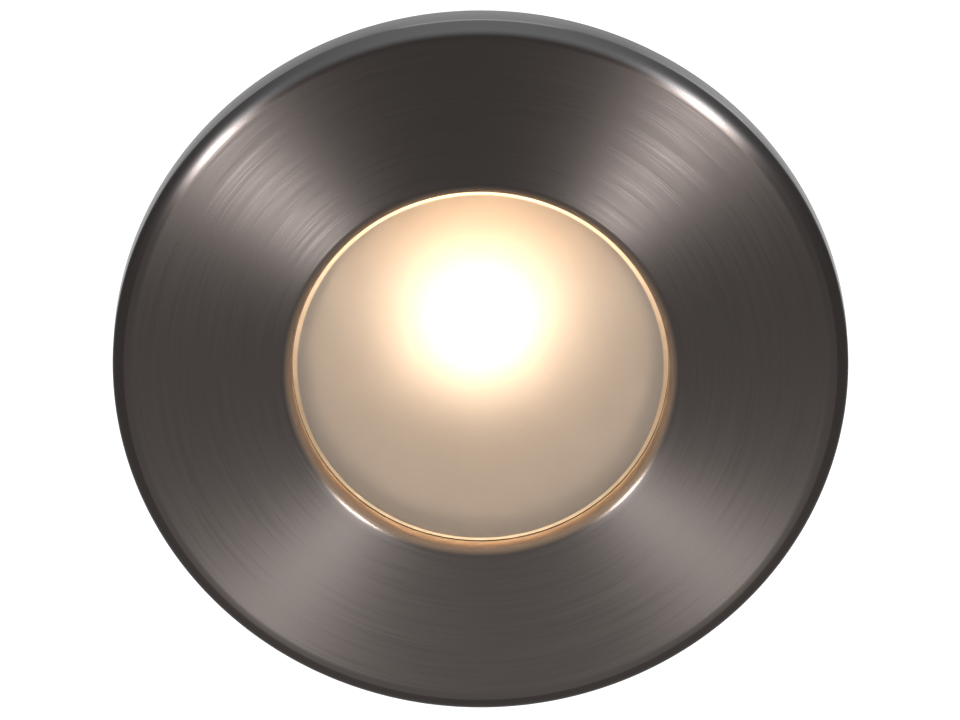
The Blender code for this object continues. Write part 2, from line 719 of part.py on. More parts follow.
def fin_outline():
    """The fins' star: each fin tapers from root to tip, with a pointed end that reads as round."""
    root = BARREL_RADIUS - FIN_SINK
    shoulder = FIN_RADIUS - FIN_TIP_WIDTH / 2
    outline = []
    for angle in (FULL_TURN * i / FIN_COUNT for i in range(FIN_COUNT)):
        along = Vector((math.cos(angle), math.sin(angle)))
        across = Vector((-along.y, along.x))
        blade = [(shoulder, -FIN_TIP_WIDTH / 2), (FIN_RADIUS, 0), (shoulder, FIN_TIP_WIDTH / 2)]
        steps = blade if stands_clear(angle) else []
        for distance, offset in [(root, -FIN_ROOT_WIDTH / 2), *steps, (root, FIN_ROOT_WIDTH / 2)]:
            outline.append(tuple(along * distance + across * offset))
    return outline


def make_fins():
    """The ring of fins that the housing's core carries, inside the flange at its front."""
    inner = (BARREL_BORE + BARREL_RADIUS - FIN_SINK) / 2
    hole = [tuple(on_circle(inner, FULL_TURN * i / RING_STEPS).xy) for i in range(RING_STEPS)]
    length = FIN_LENGTH + JOIN_OVERLAP
    middle = FLANGE_BACK + JOIN_OVERLAP - length / 2
    return flat_outline("fins", [fin_outline(), hole], length, location=(0, 0, middle))


def lug_outline():
    """A clip lug's side: a gusset that narrows from the ear's pad to a round end about the pin."""
    root = EAR_FACE_RADIUS - PIN_X - JOIN_OVERLAP
    nose = arc((0, 0), LUG_RADIUS, SIXTH, -SIXTH, SMALL_STEPS // 2)
    return [(root, -EAR_GUSSET)] + [(root, EAR_GUSSET)] + nose


def ear_parts(side):
    """The pad and two lugs that carry one clip; side is 1 at the right and -1 at the left."""
    inner = (BARREL_BORE + BARREL_RADIUS) / 2
    width = EAR_FACE_RADIUS - inner
    height = FIN_LENGTH + JOIN_OVERLAP
    pad = box(
        f"ear pad {side}",
        (width, LUG_OUTER + LUG_OUTER + EAR_PAD_MARGIN + EAR_PAD_MARGIN, height),
        location=(side * (inner + width / 2), 0, FLANGE_BACK + JOIN_OVERLAP - height / 2),
    )
    shapes = [pad]
    turn = 0 if side > 0 else HALF_TURN
    for end in (1, -1):
        middle = end * (LUG_INNER + LUG_OUTER) / 2
        shapes.append(
            flat_outline(
                f"ear lug {side} {end}",
                [lug_outline()],
                EAR_LUG_THICKNESS,
                location=(side * PIN_X, middle, PIN_Z),
                rotation=(QUARTER, 0, turn),
            )
        )
    return shapes


def make_housing():
    """The cast housing: turned core, fins, clip ears, cover lugs, standoffs and their holes."""
    housing = turned("housing", housing_profile(), BODY_STEPS, closed=False)
    join(housing, make_fins())
    for side in (1, -1):
        join(housing, *ear_parts(side))
    for number, spot in enumerate(cover_screw_places(), start=1):
        join(housing, cover_lug(number, spot))
    for number, angle in enumerate(DRIVER_SCREW_ANGLES, start=1):
        spot = on_circle(DRIVER_SCREW_CIRCLE, angle)
        low = PLATFORM_BACK - STANDOFF_HEIGHT
        post = rod(f"standoff {number}", STANDOFF_RADIUS, low, PLATFORM_BACK + JOIN_OVERLAP, *spot.xy)
        join(housing, post)
    cut(housing, *housing_holes())
    finish(housing, "cast_aluminium")


def cover_lug(number, spot):
    """A screw lug on the barrel: a short cylinder whose nose tapers into the wall."""
    foot = BARREL_BACK + COVER_LUG_SETBACK
    top = BARREL_BACK + COVER_LUG_LENGTH
    shoulder = top - COVER_LUG_LENGTH * COVER_LUG_TAPER_SHARE
    nose = COVER_LUG_RADIUS * COVER_LUG_TAPER_SHARE
    profile = [(0, top), (nose, top), (COVER_LUG_RADIUS, shoulder), (COVER_LUG_RADIUS, foot), (0, foot)]
    spot = (spot.x, spot.y, 0)
    return turned(f"cover lug {number}", profile, SMALL_STEPS, closed=False, location=spot)


def cover_screw_places():
    """Where the cover screws' heads rest, on the cover's back."""
    seat = COVER_BACK - SEAT_GAP
    return [on_circle(COVER_SCREW_CIRCLE, angle, seat) for angle in COVER_SCREW_ANGLES]


def board_screw_places():
    """Where the light board's screw heads rest."""
    seat = LED_BOARD_FRONT + SEAT_GAP
    return [on_circle(BOARD_SCREW_CIRCLE, angle, seat) for angle in BOARD_SCREW_ANGLES]


def driver_screw_places():
    """Where the driver board's screw heads rest."""
    seat = DRIVER_BOARD_BACK - SEAT_GAP
    return [on_circle(DRIVER_SCREW_CIRCLE, angle, seat) for angle in DRIVER_SCREW_ANGLES]


def housing_holes():
    """Cutters for the screws, the clip pins and the leads."""
    holes = []
    through = FLANGE_THICKNESS + SEAT_GAP + CUT_OVERRUN
    for number, spot in enumerate(trim_screw_places(), start=1):
        start = Vector((spot.x, spot.y, FLANGE_BACK - CUT_OVERRUN))
        holes.append(screw_hole(f"flange hole {number}", TRIM_SCREW, start, through + CUT_OVERRUN))
    for number, spot in enumerate(cover_screw_places(), start=1):
        depth = COVER_SCREW[1] + HOLE_END_GAP
        holes.append(screw_hole(f"lug hole {number}", COVER_SCREW, spot, depth))
    for number, spot in enumerate(board_screw_places(), start=1):
        depth = BOARD_SCREW[1] + HOLE_END_GAP
        holes.append(screw_hole(f"platform hole {number}", BOARD_SCREW, spot, -depth))
    for number, spot in enumerate(driver_screw_places(), start=1):
        depth = DRIVER_SCREW[1] + HOLE_END_GAP
        holes.append(screw_hole(f"post hole {number}", DRIVER_SCREW, spot, depth))
    for side in (1, -1):
        reach = LUG_OUTER + LUG_OUTER + CUT_OVERRUN
        radius = PIN_RADIUS + PIN_CLEARANCE
        holes.append(
            cone(
                f"pin hole {side}", radius, radius, reach, SCREW_STEPS,
                location=(side * PIN_X, 0, PIN_Z), rotation=(QUARTER, 0, 0),
            )
        )
    lead = on_circle(LEAD_HOLE_CIRCLE, LEAD_ANGLE)
    low, high = PLATFORM_BACK - CUT_OVERRUN, PLATFORM_FRONT + CUT_OVERRUN
    holes.append(rod("lead hole", LEAD_HOLE_RADIUS, low, high, *lead.xy))
    return holes


# Clips, in a frame at the pin: x outward, y along the pin, z to the front

def leaf_direction():
    """Unit vectors along the leaf and out of its outer face, with the clip at its stop."""
    along = Vector((math.sin(LEAF_ANGLE), 0, math.cos(LEAF_ANGLE)))
    outward = Vector((math.cos(LEAF_ANGLE), 0, -math.sin(LEAF_ANGLE)))
    return along, outward


def pad_end():
    """Length along the leaf to the pad's round end, so that the pad just clears the wall gasket."""
    along, outward = leaf_direction()
    reach = -PIN_Z - SEAT_GAP - PAD_THICKNESS / 2 - LEAF_RISE * outward.z
    return reach / along.z


def leaf_places():
    """Where the strap starts and ends along the leaf."""
    start = SPRING_RADIUS + SPRING_WIRE / 2 + SEAT_GAP
    return start, pad_end() - LEAF_THICKNESS / 2


def make_leaf(side, frame):
    """The stamped leaf: a tapering strap between two cheeks that hang on the pin."""
    start, end = leaf_places()
    half = CHEEK_OUTER
    tip = LEAF_TIP_WIDTH / 2
    waist = LEAF_CHEEK_LENGTH
    strap_outline = [(start, -half), (waist, -half), (end, -tip), (end, tip), (waist, half), (start, half)]
    lean = QUARTER - LEAF_ANGLE
    along, outward = leaf_direction()
    leaf = flat_outline(
        f"{side}_clip_leaf", [strap_outline], LEAF_THICKNESS,
        parent=frame, location=outward * LEAF_RISE, rotation=(0, -lean, 0),
    )
    rise = LEAF_RISE
    nose = arc((0, 0), LUG_RADIUS, -QUARTER, TWELFTH - FULL_TURN, SMALL_STEPS // 2)
    cheek = [(LEAF_CHEEK_LENGTH, rise)] + [(start, -LUG_RADIUS)] + nose
    for end_side in (1, -1):
        middle = end_side * (CHEEK_OUTER - LEAF_THICKNESS / 2)
        plate = flat_outline(
            f"{side} cheek {end_side}", [cheek], LEAF_THICKNESS,
            parent=frame, location=(0, middle, 0), rotation=(QUARTER, -lean, 0),
        )
        join(leaf, plate)
    radius = PIN_RADIUS + PIN_CLEARANCE
    reach = CHEEK_OUTER + CHEEK_OUTER + CUT_OVERRUN
    hole = cone(
        f"{side} cheek hole", radius, radius, reach, SCREW_STEPS, parent=frame, rotation=(QUARTER, 0, 0)
    )
    cut(leaf, hole)
    finish(leaf, "zinc_steel")


def make_pad(side, frame):
    """The soft sleeve on the leaf's tip, open at its sides, with a slot for the strap."""
    end = pad_end()
    half = PAD_THICKNESS / 2
    slot = LEAF_THICKNESS / 2 + SEAT_GAP
    root = end - PAD_LENGTH
    nose = arc((end, 0), half, -QUARTER, QUARTER, SMALL_STEPS // 2)
    outline = [(root, -half)] + nose + [(root, half), (root, slot), (end, slot), (end, -slot), (root, -slot)]
    along, outward = leaf_direction()
    lean = QUARTER - LEAF_ANGLE
    pad = flat_outline(
        f"{side}_clip_pad", [outline], LEAF_TIP_WIDTH + PAD_SIDE + PAD_SIDE,
        parent=frame, location=outward * LEAF_RISE, rotation=(QUARTER, -lean, 0),
    )
    finish(pad, "black_rubber")


def make_pin(side, frame):
    """The clip's pin, with a head outside each lug."""
    reach = LUG_OUTER + SEAT_GAP
    end = reach + PIN_HEAD_THICKNESS
    profile = [
        (0, end), (PIN_HEAD_RADIUS, end), (PIN_HEAD_RADIUS, reach), (PIN_RADIUS, reach),
        (PIN_RADIUS, -reach), (PIN_HEAD_RADIUS, -reach), (PIN_HEAD_RADIUS, -end), (0, -end),
    ]
    pin = turned(
        f"{side}_clip_pin", profile, SCREW_STEPS, closed=False, parent=frame, rotation=(-QUARTER, 0, 0)
    )
    finish(pin, "zinc_steel")


def spring_points():
    """The torsion spring's centre line: fixed leg, coil, then the leg that bears on the leaf.

    The coil winds from the ear's side over the front, and ends towards the leaf. Its last stretch
    rises past the leaf's outer face and bends to run along it.
    """
    along, outward = leaf_direction()
    start_angle = HALF_TURN
    end_angle = math.atan2(along.z, along.x)
    sweep = start_angle - end_angle + FULL_TURN * SPRING_TURNS
    rise = SPRING_PITCH * sweep / FULL_TURN
    low = -rise / 2
    steps = round(sweep / FULL_TURN * SPRING_POINTS)
    points = [Vector((-SPRING_RADIUS, low, -SPRING_FIXED_LEG))]
    for i in range(steps + 1):
        angle = start_angle - sweep * i / steps
        spot = Vector((math.cos(angle), 0, math.sin(angle))) * SPRING_RADIUS
        spot.y = low + rise * i / steps
        points.append(spot)
    top = -low
    bend = SPRING_BEND_RADIUS
    centre = along * (SPRING_RADIUS + bend) + outward * (SPRING_RADIUS - bend)
    for i in range(BEND_STEPS + 1):
        angle = QUARTER * i / BEND_STEPS
        spot = centre + along * (-bend * math.cos(angle)) + outward * (bend * math.sin(angle))
        points.append(Vector((spot.x, top, spot.z)))
    end = along * (SPRING_RADIUS + SPRING_MOVING_LEG) + outward * SPRING_RADIUS
    points.append(Vector((end.x, top, end.z)))
    return points


def least_gap(points, wire):
    """The least distance between a coil's wire and itself, a curl apart, measured on its points."""
    apart = SPRING_POINTS // 2
    gaps = [
        (points[i] - points[j]).length - wire
        for i in range(len(points))
        for j in range(i + apart, len(points))
    ]
    return min(gaps)


def make_clip(side):
    """One spring clip in its own frame at the pin; the left one is the right one turned round."""
    sign = 1 if side == "right" else -1
    frame = bpy.data.objects.new(f"{side}_clip_frame", None)
    PARTS.objects.link(frame)
    place(frame, FRAME, (sign * PIN_X, 0, PIN_Z), (0, 0, 0 if sign > 0 else HALF_TURN))
    make_leaf(side, frame)
    make_pad(side, frame)
    make_pin(side, frame)
    tube(f"{side}_clip_spring", spring_points(), SPRING_WIRE / 2, "spring_steel", parent=frame)


# Light source

def reflector_profile():
    """The spun cup: a flange, then a wall that opens from the throat to the mouth."""
    throat_z = LED_BOARD_FRONT + REFLECTOR_STANDOFF
    inside = []
    for i in range(REFLECTOR_STEPS + 1):
        share = i / REFLECTOR_STEPS
        radius = REFLECTOR_THROAT_RADIUS + (REFLECTOR_MOUTH_RADIUS - REFLECTOR_THROAT_RADIUS) * share
        inside.append((radius, throat_z + (HOUSING_FRONT - throat_z) * share**REFLECTOR_CURVE))
    flange = COUNTERBORE_RADIUS - SIDE_GAP
    flange_back = HOUSING_FRONT - REFLECTOR_WALL
    outside = [(radius + REFLECTOR_WALL, z) for radius, z in reversed(inside) if z < flange_back]
    neck = REFLECTOR_MOUTH_RADIUS + REFLECTOR_WALL
    top = [(flange, HOUSING_FRONT), (flange, flange_back), (neck, flange_back)]
    return top + outside + inside


def make_light_source():
    """Thermal pad, board, emitter, board screws and the reflector cup."""
    pad_back = PLATFORM_FRONT + SEAT_GAP
    pad = rod("thermal_pad", THERMAL_PAD_RADIUS, pad_back, pad_back + THERMAL_PAD_THICKNESS)
    finish(pad, "grey_pad")
    board = rod("led_board", LED_BOARD_RADIUS, LED_BOARD_BACK, LED_BOARD_FRONT, steps=RING_STEPS)
    for number, spot in enumerate(board_screw_places(), start=1):
        depth = LED_BOARD_THICKNESS + SEAT_GAP + CUT_OVERRUN
        cut(board, screw_hole(f"board hole {number}", BOARD_SCREW, spot, -depth))
    finish(board, "white_mask")
    foot = LED_BOARD_FRONT + SEAT_GAP
    emitter = box(
        "led_emitter", (EMITTER_SIDE, EMITTER_SIDE, EMITTER_THICKNESS),
        location=(0, 0, foot + EMITTER_THICKNESS / 2),
    )
    join(emitter, emitter_dome(foot + EMITTER_THICKNESS))
    finish(emitter, "phosphor")
    screws("led_board_screw", BOARD_SCREW, board_screw_places(), "zinc_steel")
    finish(turned("reflector", reflector_profile(), RING_STEPS), "spun_aluminium")


def emitter_dome(base):
    """The clear dome over the emitter, sunk a little into its base."""
    steps = FILLET_STEPS + 1
    turns = [QUARTER * i / steps for i in range(1, steps + 1)]
    wall = [
        (EMITTER_DOME_RADIUS * math.sin(turn), base + EMITTER_DOME_HEIGHT * math.cos(turn))
        for turn in turns
    ]
    sink = base - EMITTER_THICKNESS / 2
    profile = [(0, base + EMITTER_DOME_HEIGHT)] + wall + [(EMITTER_DOME_RADIUS, sink), (0, sink)]
    return turned("emitter dome", profile, SMALL_STEPS, closed=False)


def lead_points(offset):
    """One lead's centre line, from the light board over its edge and through to the driver board."""
    across = Vector((-math.sin(LEAD_ANGLE), math.cos(LEAD_ANGLE), 0)) * offset
    start_z = LED_BOARD_FRONT + SEAT_GAP
    end_z = DRIVER_BOARD_BACK - SEAT_GAP
    high = start_z + LEAD_RISE + LEAD_BEND
    low = end_z - LEAD_TAIL - LEAD_BEND
    bends = (
        (LEAD_PAD_CIRCLE + LEAD_BEND, high - LEAD_BEND, HALF_TURN),
        (LEAD_HOLE_CIRCLE - LEAD_BEND, high - LEAD_BEND, QUARTER),
        (LEAD_HOLE_CIRCLE - LEAD_BEND, low + LEAD_BEND, 0),
        (LEAD_END_CIRCLE + LEAD_BEND, low + LEAD_BEND, -QUARTER),
    )
    section = [(LEAD_PAD_CIRCLE, start_z)]
    for radius, z, start in bends:
        section += arc((radius, z), LEAD_BEND, start, start - QUARTER, BEND_STEPS)
    section.append((LEAD_END_CIRCLE, end_z))
    return [on_circle(radius, LEAD_ANGLE, z) + across for radius, z in section]


def make_leads():
    """The two leads that the housing holds all the way."""
    for name, offset, material in (
        ("led_lead_red", LEAD_SPACING / 2, "red_wire"),
        ("led_lead_black", -LEAD_SPACING / 2, "black_wire"),
    ):
        tube(name, lead_points(offset), LEAD_RADIUS, material)


# Driver, whose parts stand on the board's back and reach to the rear

def standing(height):
    """The middle height of a part that stands on the driver board."""
    return PART_FOOT - height / 2


def make_driver_boards():
    """The insulating sheet on the platform and the driver board on its posts."""
    front = PLATFORM_BACK - SEAT_GAP
    sheet = rod("driver_insulator", INSULATOR_RADIUS, front - INSULATOR_THICKNESS, front, steps=RING_STEPS)
    board = rod(
        "driver_board", DRIVER_BOARD_RADIUS, DRIVER_BOARD_BACK, DRIVER_BOARD_FRONT, steps=RING_STEPS
    )
    lead = on_circle(LEAD_HOLE_CIRCLE, LEAD_ANGLE)
    for piece, low in ((sheet, front - INSULATOR_THICKNESS), (board, DRIVER_BOARD_BACK)):
        high = low + DRIVER_BOARD_THICKNESS + CUT_OVERRUN
        hole = rod(f"{piece.name} lead hole", LEAD_HOLE_RADIUS, low - CUT_OVERRUN, high, *lead.xy)
        cut(piece, hole)
    for number, angle in enumerate(DRIVER_SCREW_ANGLES, start=1):
        spot = on_circle(DRIVER_SCREW_CIRCLE, angle, front)
        radius = STANDOFF_RADIUS + SEAT_GAP
        low, high = front - INSULATOR_THICKNESS - CUT_OVERRUN, front + CUT_OVERRUN
        cut(sheet, rod(f"sheet hole {number}", radius, low, high, *spot.xy))
    for number, spot in enumerate(driver_screw_places(), start=1):
        depth = DRIVER_BOARD_THICKNESS + SEAT_GAP + CUT_OVERRUN
        cut(board, screw_hole(f"driver hole {number}", DRIVER_SCREW, spot, depth))
    finish(sheet, "fibre")
    finish(board, "green_mask")
    screws("driver_screw", DRIVER_SCREW, driver_screw_places(), "zinc_steel", head_back=True)


def make_transformer():
    """A ferrite core with two windows, and the taped winding round its middle leg."""
    width, depth, height = CORE_SIZE
    middle = (*CORE_PLACE, standing(height))
    core = box("transformer_core", CORE_SIZE, location=middle)
    window = width / 2 - CORE_OUTER_LEG - CORE_LEG / 2
    tall = height - CORE_YOKE - CORE_YOKE
    for side in (1, -1):
        offset = side * (CORE_LEG + window) / 2
        spot = (middle[0] + offset, middle[1], middle[2])
        cut(core, box(f"core window {side}", (window, depth + CUT_OVERRUN, tall), location=spot))
    finish(core, "ferrite")
    inner = (CORE_LEG / 2 + SEAT_GAP, depth / 2 + SEAT_GAP)
    outer = (width / 2 - CORE_OUTER_LEG - SEAT_GAP, WINDING_DEPTH / 2)
    x, y = inner
    outlines = [rounded_rectangle(outer, WINDING_CORNER), [(-x, -y), (-x, y), (x, y), (x, -y)]]
    winding = flat_outline("transformer_winding", outlines, tall - SEAT_GAP - SEAT_GAP, location=middle)
    finish(winding, "yellow_tape")


def rounded_rectangle(half, radius):
    """The outline of a rectangle with round corners, from its half sizes."""
    radius = min(radius, *(size - SEAT_GAP for size in half))
    x, y = half[0] - radius, half[1] - radius
    outline = []
    for number, (sx, sy) in enumerate(((1, 1), (-1, 1), (-1, -1), (1, -1))):
        start = QUARTER * number
        outline += arc((sx * x, sy * y), radius, start, start + QUARTER)
    return outline


def capacitor(name, sizes, spot):
    """A standing can with a crimp groove near its foot and a chamfered top, to the rear."""
    radius, height = sizes
    groove = CAPACITOR_GROOVE
    crimp = PART_FOOT - CAPACITOR_CRIMP
    end = PART_FOOT - height
    profile = [
        (0, PART_FOOT), (radius, PART_FOOT), (radius, crimp + groove), (radius - groove, crimp),
        (radius, crimp - groove), (radius, end + groove), (radius - groove, end), (0, end),
    ]
    finish(turned(name, profile, SMALL_STEPS, closed=False, location=(*spot, 0)), "black_plastic")


def make_fuse():
    """A lying fuse with an end cap at each end."""
    half = FUSE_LENGTH / 2
    inner = half - FUSE_CAP_LENGTH
    slim = FUSE_RADIUS - FUSE_CAP_STEP
    profile = [
        (0, half), (FUSE_RADIUS, half), (FUSE_RADIUS, inner), (slim, inner),
        (slim, -inner), (FUSE_RADIUS, -inner), (FUSE_RADIUS, -half), (0, -half),
    ]
    middle = (*FUSE_PLACE, PART_FOOT - FUSE_RADIUS)
    fuse = turned("fuse", profile, SCREW_STEPS, closed=False, location=middle, rotation=(0, QUARTER, 0))
    finish(fuse, "copper")


def make_choke():
    """A ring choke lying on the board."""
    shape = [
        (CHOKE_RADIUS + CHOKE_TUBE * math.cos(angle), CHOKE_TUBE * math.sin(angle))
        for angle in (FULL_TURN - FULL_TURN * i / HEX for i in range(HEX))
    ]
    choke = turned("choke", shape, SMALL_STEPS, location=(*CHOKE_PLACE, PART_FOOT - CHOKE_TUBE))
    finish(choke, "copper")


def make_varistor():
    """A disc varistor standing on its edge."""
    middle = (*VARISTOR_PLACE, PART_FOOT - VARISTOR_RADIUS)
    disc = cone(
        "varistor", VARISTOR_RADIUS, VARISTOR_RADIUS, VARISTOR_THICKNESS,
        location=middle, rotation=(QUARTER, 0, 0),
    )
    finish(bevelled(disc, PART_BEVEL), "blue_coating")


def make_terminal_block():
    """The supply terminals, with a screw well and a wire mouth for each way."""
    width, depth, height = TERMINAL_SIZE
    middle = Vector((*TERMINAL_PLACE, standing(height)))
    block = box("terminal_block", TERMINAL_SIZE, location=middle)
    rear = middle.z - height / 2
    for way in range(TERMINAL_WAYS):
        x = middle.x + TERMINAL_PITCH * (way - (TERMINAL_WAYS - 1) / 2)
        well = rod(
            f"terminal well {way}", TERMINAL_SCREW_RADIUS, rear - CUT_OVERRUN, rear + TERMINAL_WELL_DEPTH,
            x, middle.y, steps=SCREW_STEPS,
        )
        mouth_y = middle.y + (depth - TERMINAL_MOUTH[1]) / 2 + CUT_OVERRUN
        spot = (x, mouth_y, middle.z + height * TERMINAL_MOUTH_SHARE)
        mouth = box(f"terminal mouth {way}", TERMINAL_MOUTH, location=spot)
        cut(block, well, mouth)
    finish(block, "green_plastic")


def make_driver():
    """Everything in the rear chamber."""
    make_driver_boards()
    make_transformer()
    capacitor("input_capacitor", INPUT_CAPACITOR, INPUT_CAPACITOR_PLACE)
    capacitor("output_capacitor", OUTPUT_CAPACITOR, OUTPUT_CAPACITOR_PLACE)
    make_choke()
    make_fuse()
    make_varistor()
    for name, size, spot in (
        ("rectifier", RECTIFIER_SIZE, RECTIFIER_PLACE),
        ("controller_chip", CHIP_SIZE, CHIP_PLACE),
    ):
        piece = box(name, size, location=(*spot, standing(size[2])))
        finish(bevelled(piece, PART_BEVEL), "black_plastic")
    make_terminal_block()


# Rear cover and gland

def cover_profile():
    """The cover's plate with the spigot that enters the chamber."""
    spigot = CHAMBER_RADIUS - SIDE_GAP
    inner = spigot - COVER_SPIGOT_WALL
    tip = COVER_FRONT + COVER_SPIGOT_LENGTH
    return [
        (0, COVER_FRONT), (inner, COVER_FRONT), (inner, tip), (spigot, tip), (spigot, COVER_FRONT),
        (BARREL_RADIUS, COVER_FRONT), (BARREL_RADIUS, COVER_BACK + COVER_CHAMFER),
        (BARREL_RADIUS - COVER_CHAMFER, COVER_BACK), (0, COVER_BACK),
    ]


def make_rear_cover():
    """The rear cover: plate, screw lugs, ribs round a ring, ground boss and holes."""
    cover = turned("rear_cover", cover_profile(), BODY_STEPS, closed=False)
    for number, spot in enumerate(cover_screw_places(), start=1):
        low, high = COVER_BACK + COVER_LUG_SETBACK, COVER_FRONT - COVER_LUG_SETBACK
        join(cover, rod(f"cover ear {number}", COVER_LUG_RADIUS, low, high, *spot.xy))
    low = COVER_BACK - COVER_RIB_HEIGHT
    high = COVER_BACK + JOIN_OVERLAP
    join(cover, rod("cover ring", COVER_RING_RADIUS, low, high, steps=RING_STEPS))
    length = COVER_RIB_OUTER_RADIUS - COVER_RING_RADIUS + JOIN_OVERLAP
    for i in range(COVER_RIB_COUNT):
        angle = FULL_TURN * i / COVER_RIB_COUNT
        spot = on_circle(COVER_RIB_OUTER_RADIUS - length / 2, angle, (low + high) / 2)
        size = (length, COVER_RIB_WIDTH, high - low)
        join(cover, box(f"cover rib {i}", size, location=spot, rotation=(0, 0, angle)))
    top = COVER_FRONT + GROUND_BOSS_HEIGHT
    join(cover, rod("ground boss", GROUND_BOSS_RADIUS, COVER_FRONT - JOIN_OVERLAP, top, *GROUND_PLACE))
    through = GLAND_THREAD_RADIUS + SEAT_GAP
    cut(cover, rod("gland hole", through, low - CUT_OVERRUN, COVER_FRONT + CUT_OVERRUN, steps=RING_STEPS))
    for number, spot in enumerate(cover_screw_places(), start=1):
        start = Vector((spot.x, spot.y, COVER_BACK - CUT_OVERRUN))
        depth = COVER_THICKNESS + CUT_OVERRUN + CUT_OVERRUN
        cut(cover, screw_hole(f"cover hole {number}", COVER_SCREW, start, depth))
    ground = Vector((*GROUND_PLACE, top + SEAT_GAP))
    cut(cover, screw_hole("ground hole", GROUND_SCREW, ground, -(GROUND_SCREW[1] + HOLE_END_GAP)))
    finish(cover, "cast_aluminium")
    screws("cover_screw", COVER_SCREW, cover_screw_places(), "zinc_steel", head_back=True)
    screws("ground_screw", GROUND_SCREW, [ground], "green_screw")


def hex_prism(name, radius, back, front):
    """A six-sided prism along z."""
    return rod(name, radius, back, front, steps=HEX)


def make_gland():
    """The cable gland: body through the cover, locknut inside, seal and domed nut outside."""
    front = COVER_FRONT + GLAND_INNER_THREAD
    back = GLAND_HEX_BACK - GLAND_OUTER_THREAD
    seal_front = back + GLAND_SEAL_SEAT
    seal_radius = GLAND_BORE_RADIUS + GLAND_SEAL_WALL
    socket = seal_radius + SEAT_GAP
    body = turned(
        "gland_body",
        [
            (GLAND_THREAD_RADIUS, front), (GLAND_THREAD_RADIUS, back), (socket, back),
            (socket, seal_front), (GLAND_BORE_RADIUS, seal_front), (GLAND_BORE_RADIUS, front),
        ],
        SMALL_STEPS,
    )
    collar = hex_prism("gland collar", GLAND_HEX_RADIUS, GLAND_HEX_BACK, GLAND_HEX_FRONT)
    inside = (GLAND_BORE_RADIUS + GLAND_THREAD_RADIUS) / 2
    low, high = GLAND_HEX_BACK - CUT_OVERRUN, GLAND_HEX_FRONT + CUT_OVERRUN
    cut(collar, rod("collar hole", inside, low, high))
    join(body, collar)
    finish(body, "black_plastic")
    nut_inner = GLAND_THREAD_RADIUS + SEAT_GAP
    locknut_front = COVER_FRONT + SEAT_GAP + GLAND_LOCKNUT_THICKNESS
    locknut_back = COVER_FRONT + SEAT_GAP
    locknut = hex_prism("gland_locknut", GLAND_LOCKNUT_RADIUS, locknut_back, locknut_front)
    cut(locknut, rod("locknut hole", nut_inner, locknut_back - CUT_OVERRUN, locknut_front + CUT_OVERRUN))
    finish(locknut, "black_plastic")
    seal_top = seal_front - SEAT_GAP
    seal_back = seal_top - GLAND_SEAL_LENGTH
    seal_ring = ring_profile(GLAND_BORE_RADIUS, seal_radius, seal_back, seal_top)
    seal = turned("gland_seal", seal_ring, SMALL_STEPS)
    finish(seal, "black_rubber")
    nut_front = GLAND_HEX_BACK - SEAT_GAP
    nut_floor = min(seal_back, back) - SEAT_GAP
    nut_end = nut_floor - GLAND_NUT_END_WALL
    nut_shoulder = nut_end + GLAND_NUT_DOME_LENGTH
    dome = arc(
        (GLAND_THREAD_RADIUS - SEAT_GAP, nut_shoulder), GLAND_NUT_END_WALL, 0, -QUARTER, FILLET_STEPS
    )
    flat = GLAND_HEX_RADIUS * math.cos(TWELFTH)
    nut = turned(
        "gland_nut",
        [(flat, nut_front), (flat, nut_shoulder)]
        + dome
        + [
            (GLAND_BORE_RADIUS + GLAND_SEAL_WALL, nut_end), (GLAND_BORE_RADIUS, nut_end),
            (GLAND_BORE_RADIUS, nut_floor), (nut_inner, nut_floor), (nut_inner, nut_front),
        ],
        SMALL_STEPS,
    )
    grip = hex_prism("nut grip", GLAND_HEX_RADIUS, nut_front - GLAND_NUT_HEX_LENGTH, nut_front)
    low = nut_front - GLAND_NUT_HEX_LENGTH - CUT_OVERRUN
    cut(grip, rod("grip hole", (nut_inner + flat) / 2, low, nut_front + CUT_OVERRUN))
    join(nut, grip)
    finish(nut, "black_plastic")


def main():
    """Builds the whole light, front to back."""
    make_trim()
    make_seals()
    make_lens()
    make_light_source()
    make_leads()
    make_housing()
    screws("trim_screw", TRIM_SCREW, trim_screw_places(), "zinc_steel", head_back=True)
    for side in ("right", "left"):
        make_clip(side)
    print("least gap between curls, mm:", round(least_gap(spring_points(), SPRING_WIRE) * 1000, 3))
    make_driver()
    make_rear_cover()
    make_gland()


main()
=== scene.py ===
"""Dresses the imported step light: turned nickel trim, sandblasted lens, cast body, clips and gland.

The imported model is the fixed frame. Each piece that shows is worked out again here as a fine surface
in the light's own frame: x to the right, y up and z out of the wall, with the origin at the centre of
the wall's cut-out. Points are turned into the row frame when a mesh is made. Lengths are in metres.
"""

from __future__ import annotations

import logging
import math
from collections.abc import Callable, Sequence
from dataclasses import dataclass, field, replace
from enum import Enum
from functools import cache

import bmesh
import bpy
import numpy as np
from mathutils import Matrix, Vector


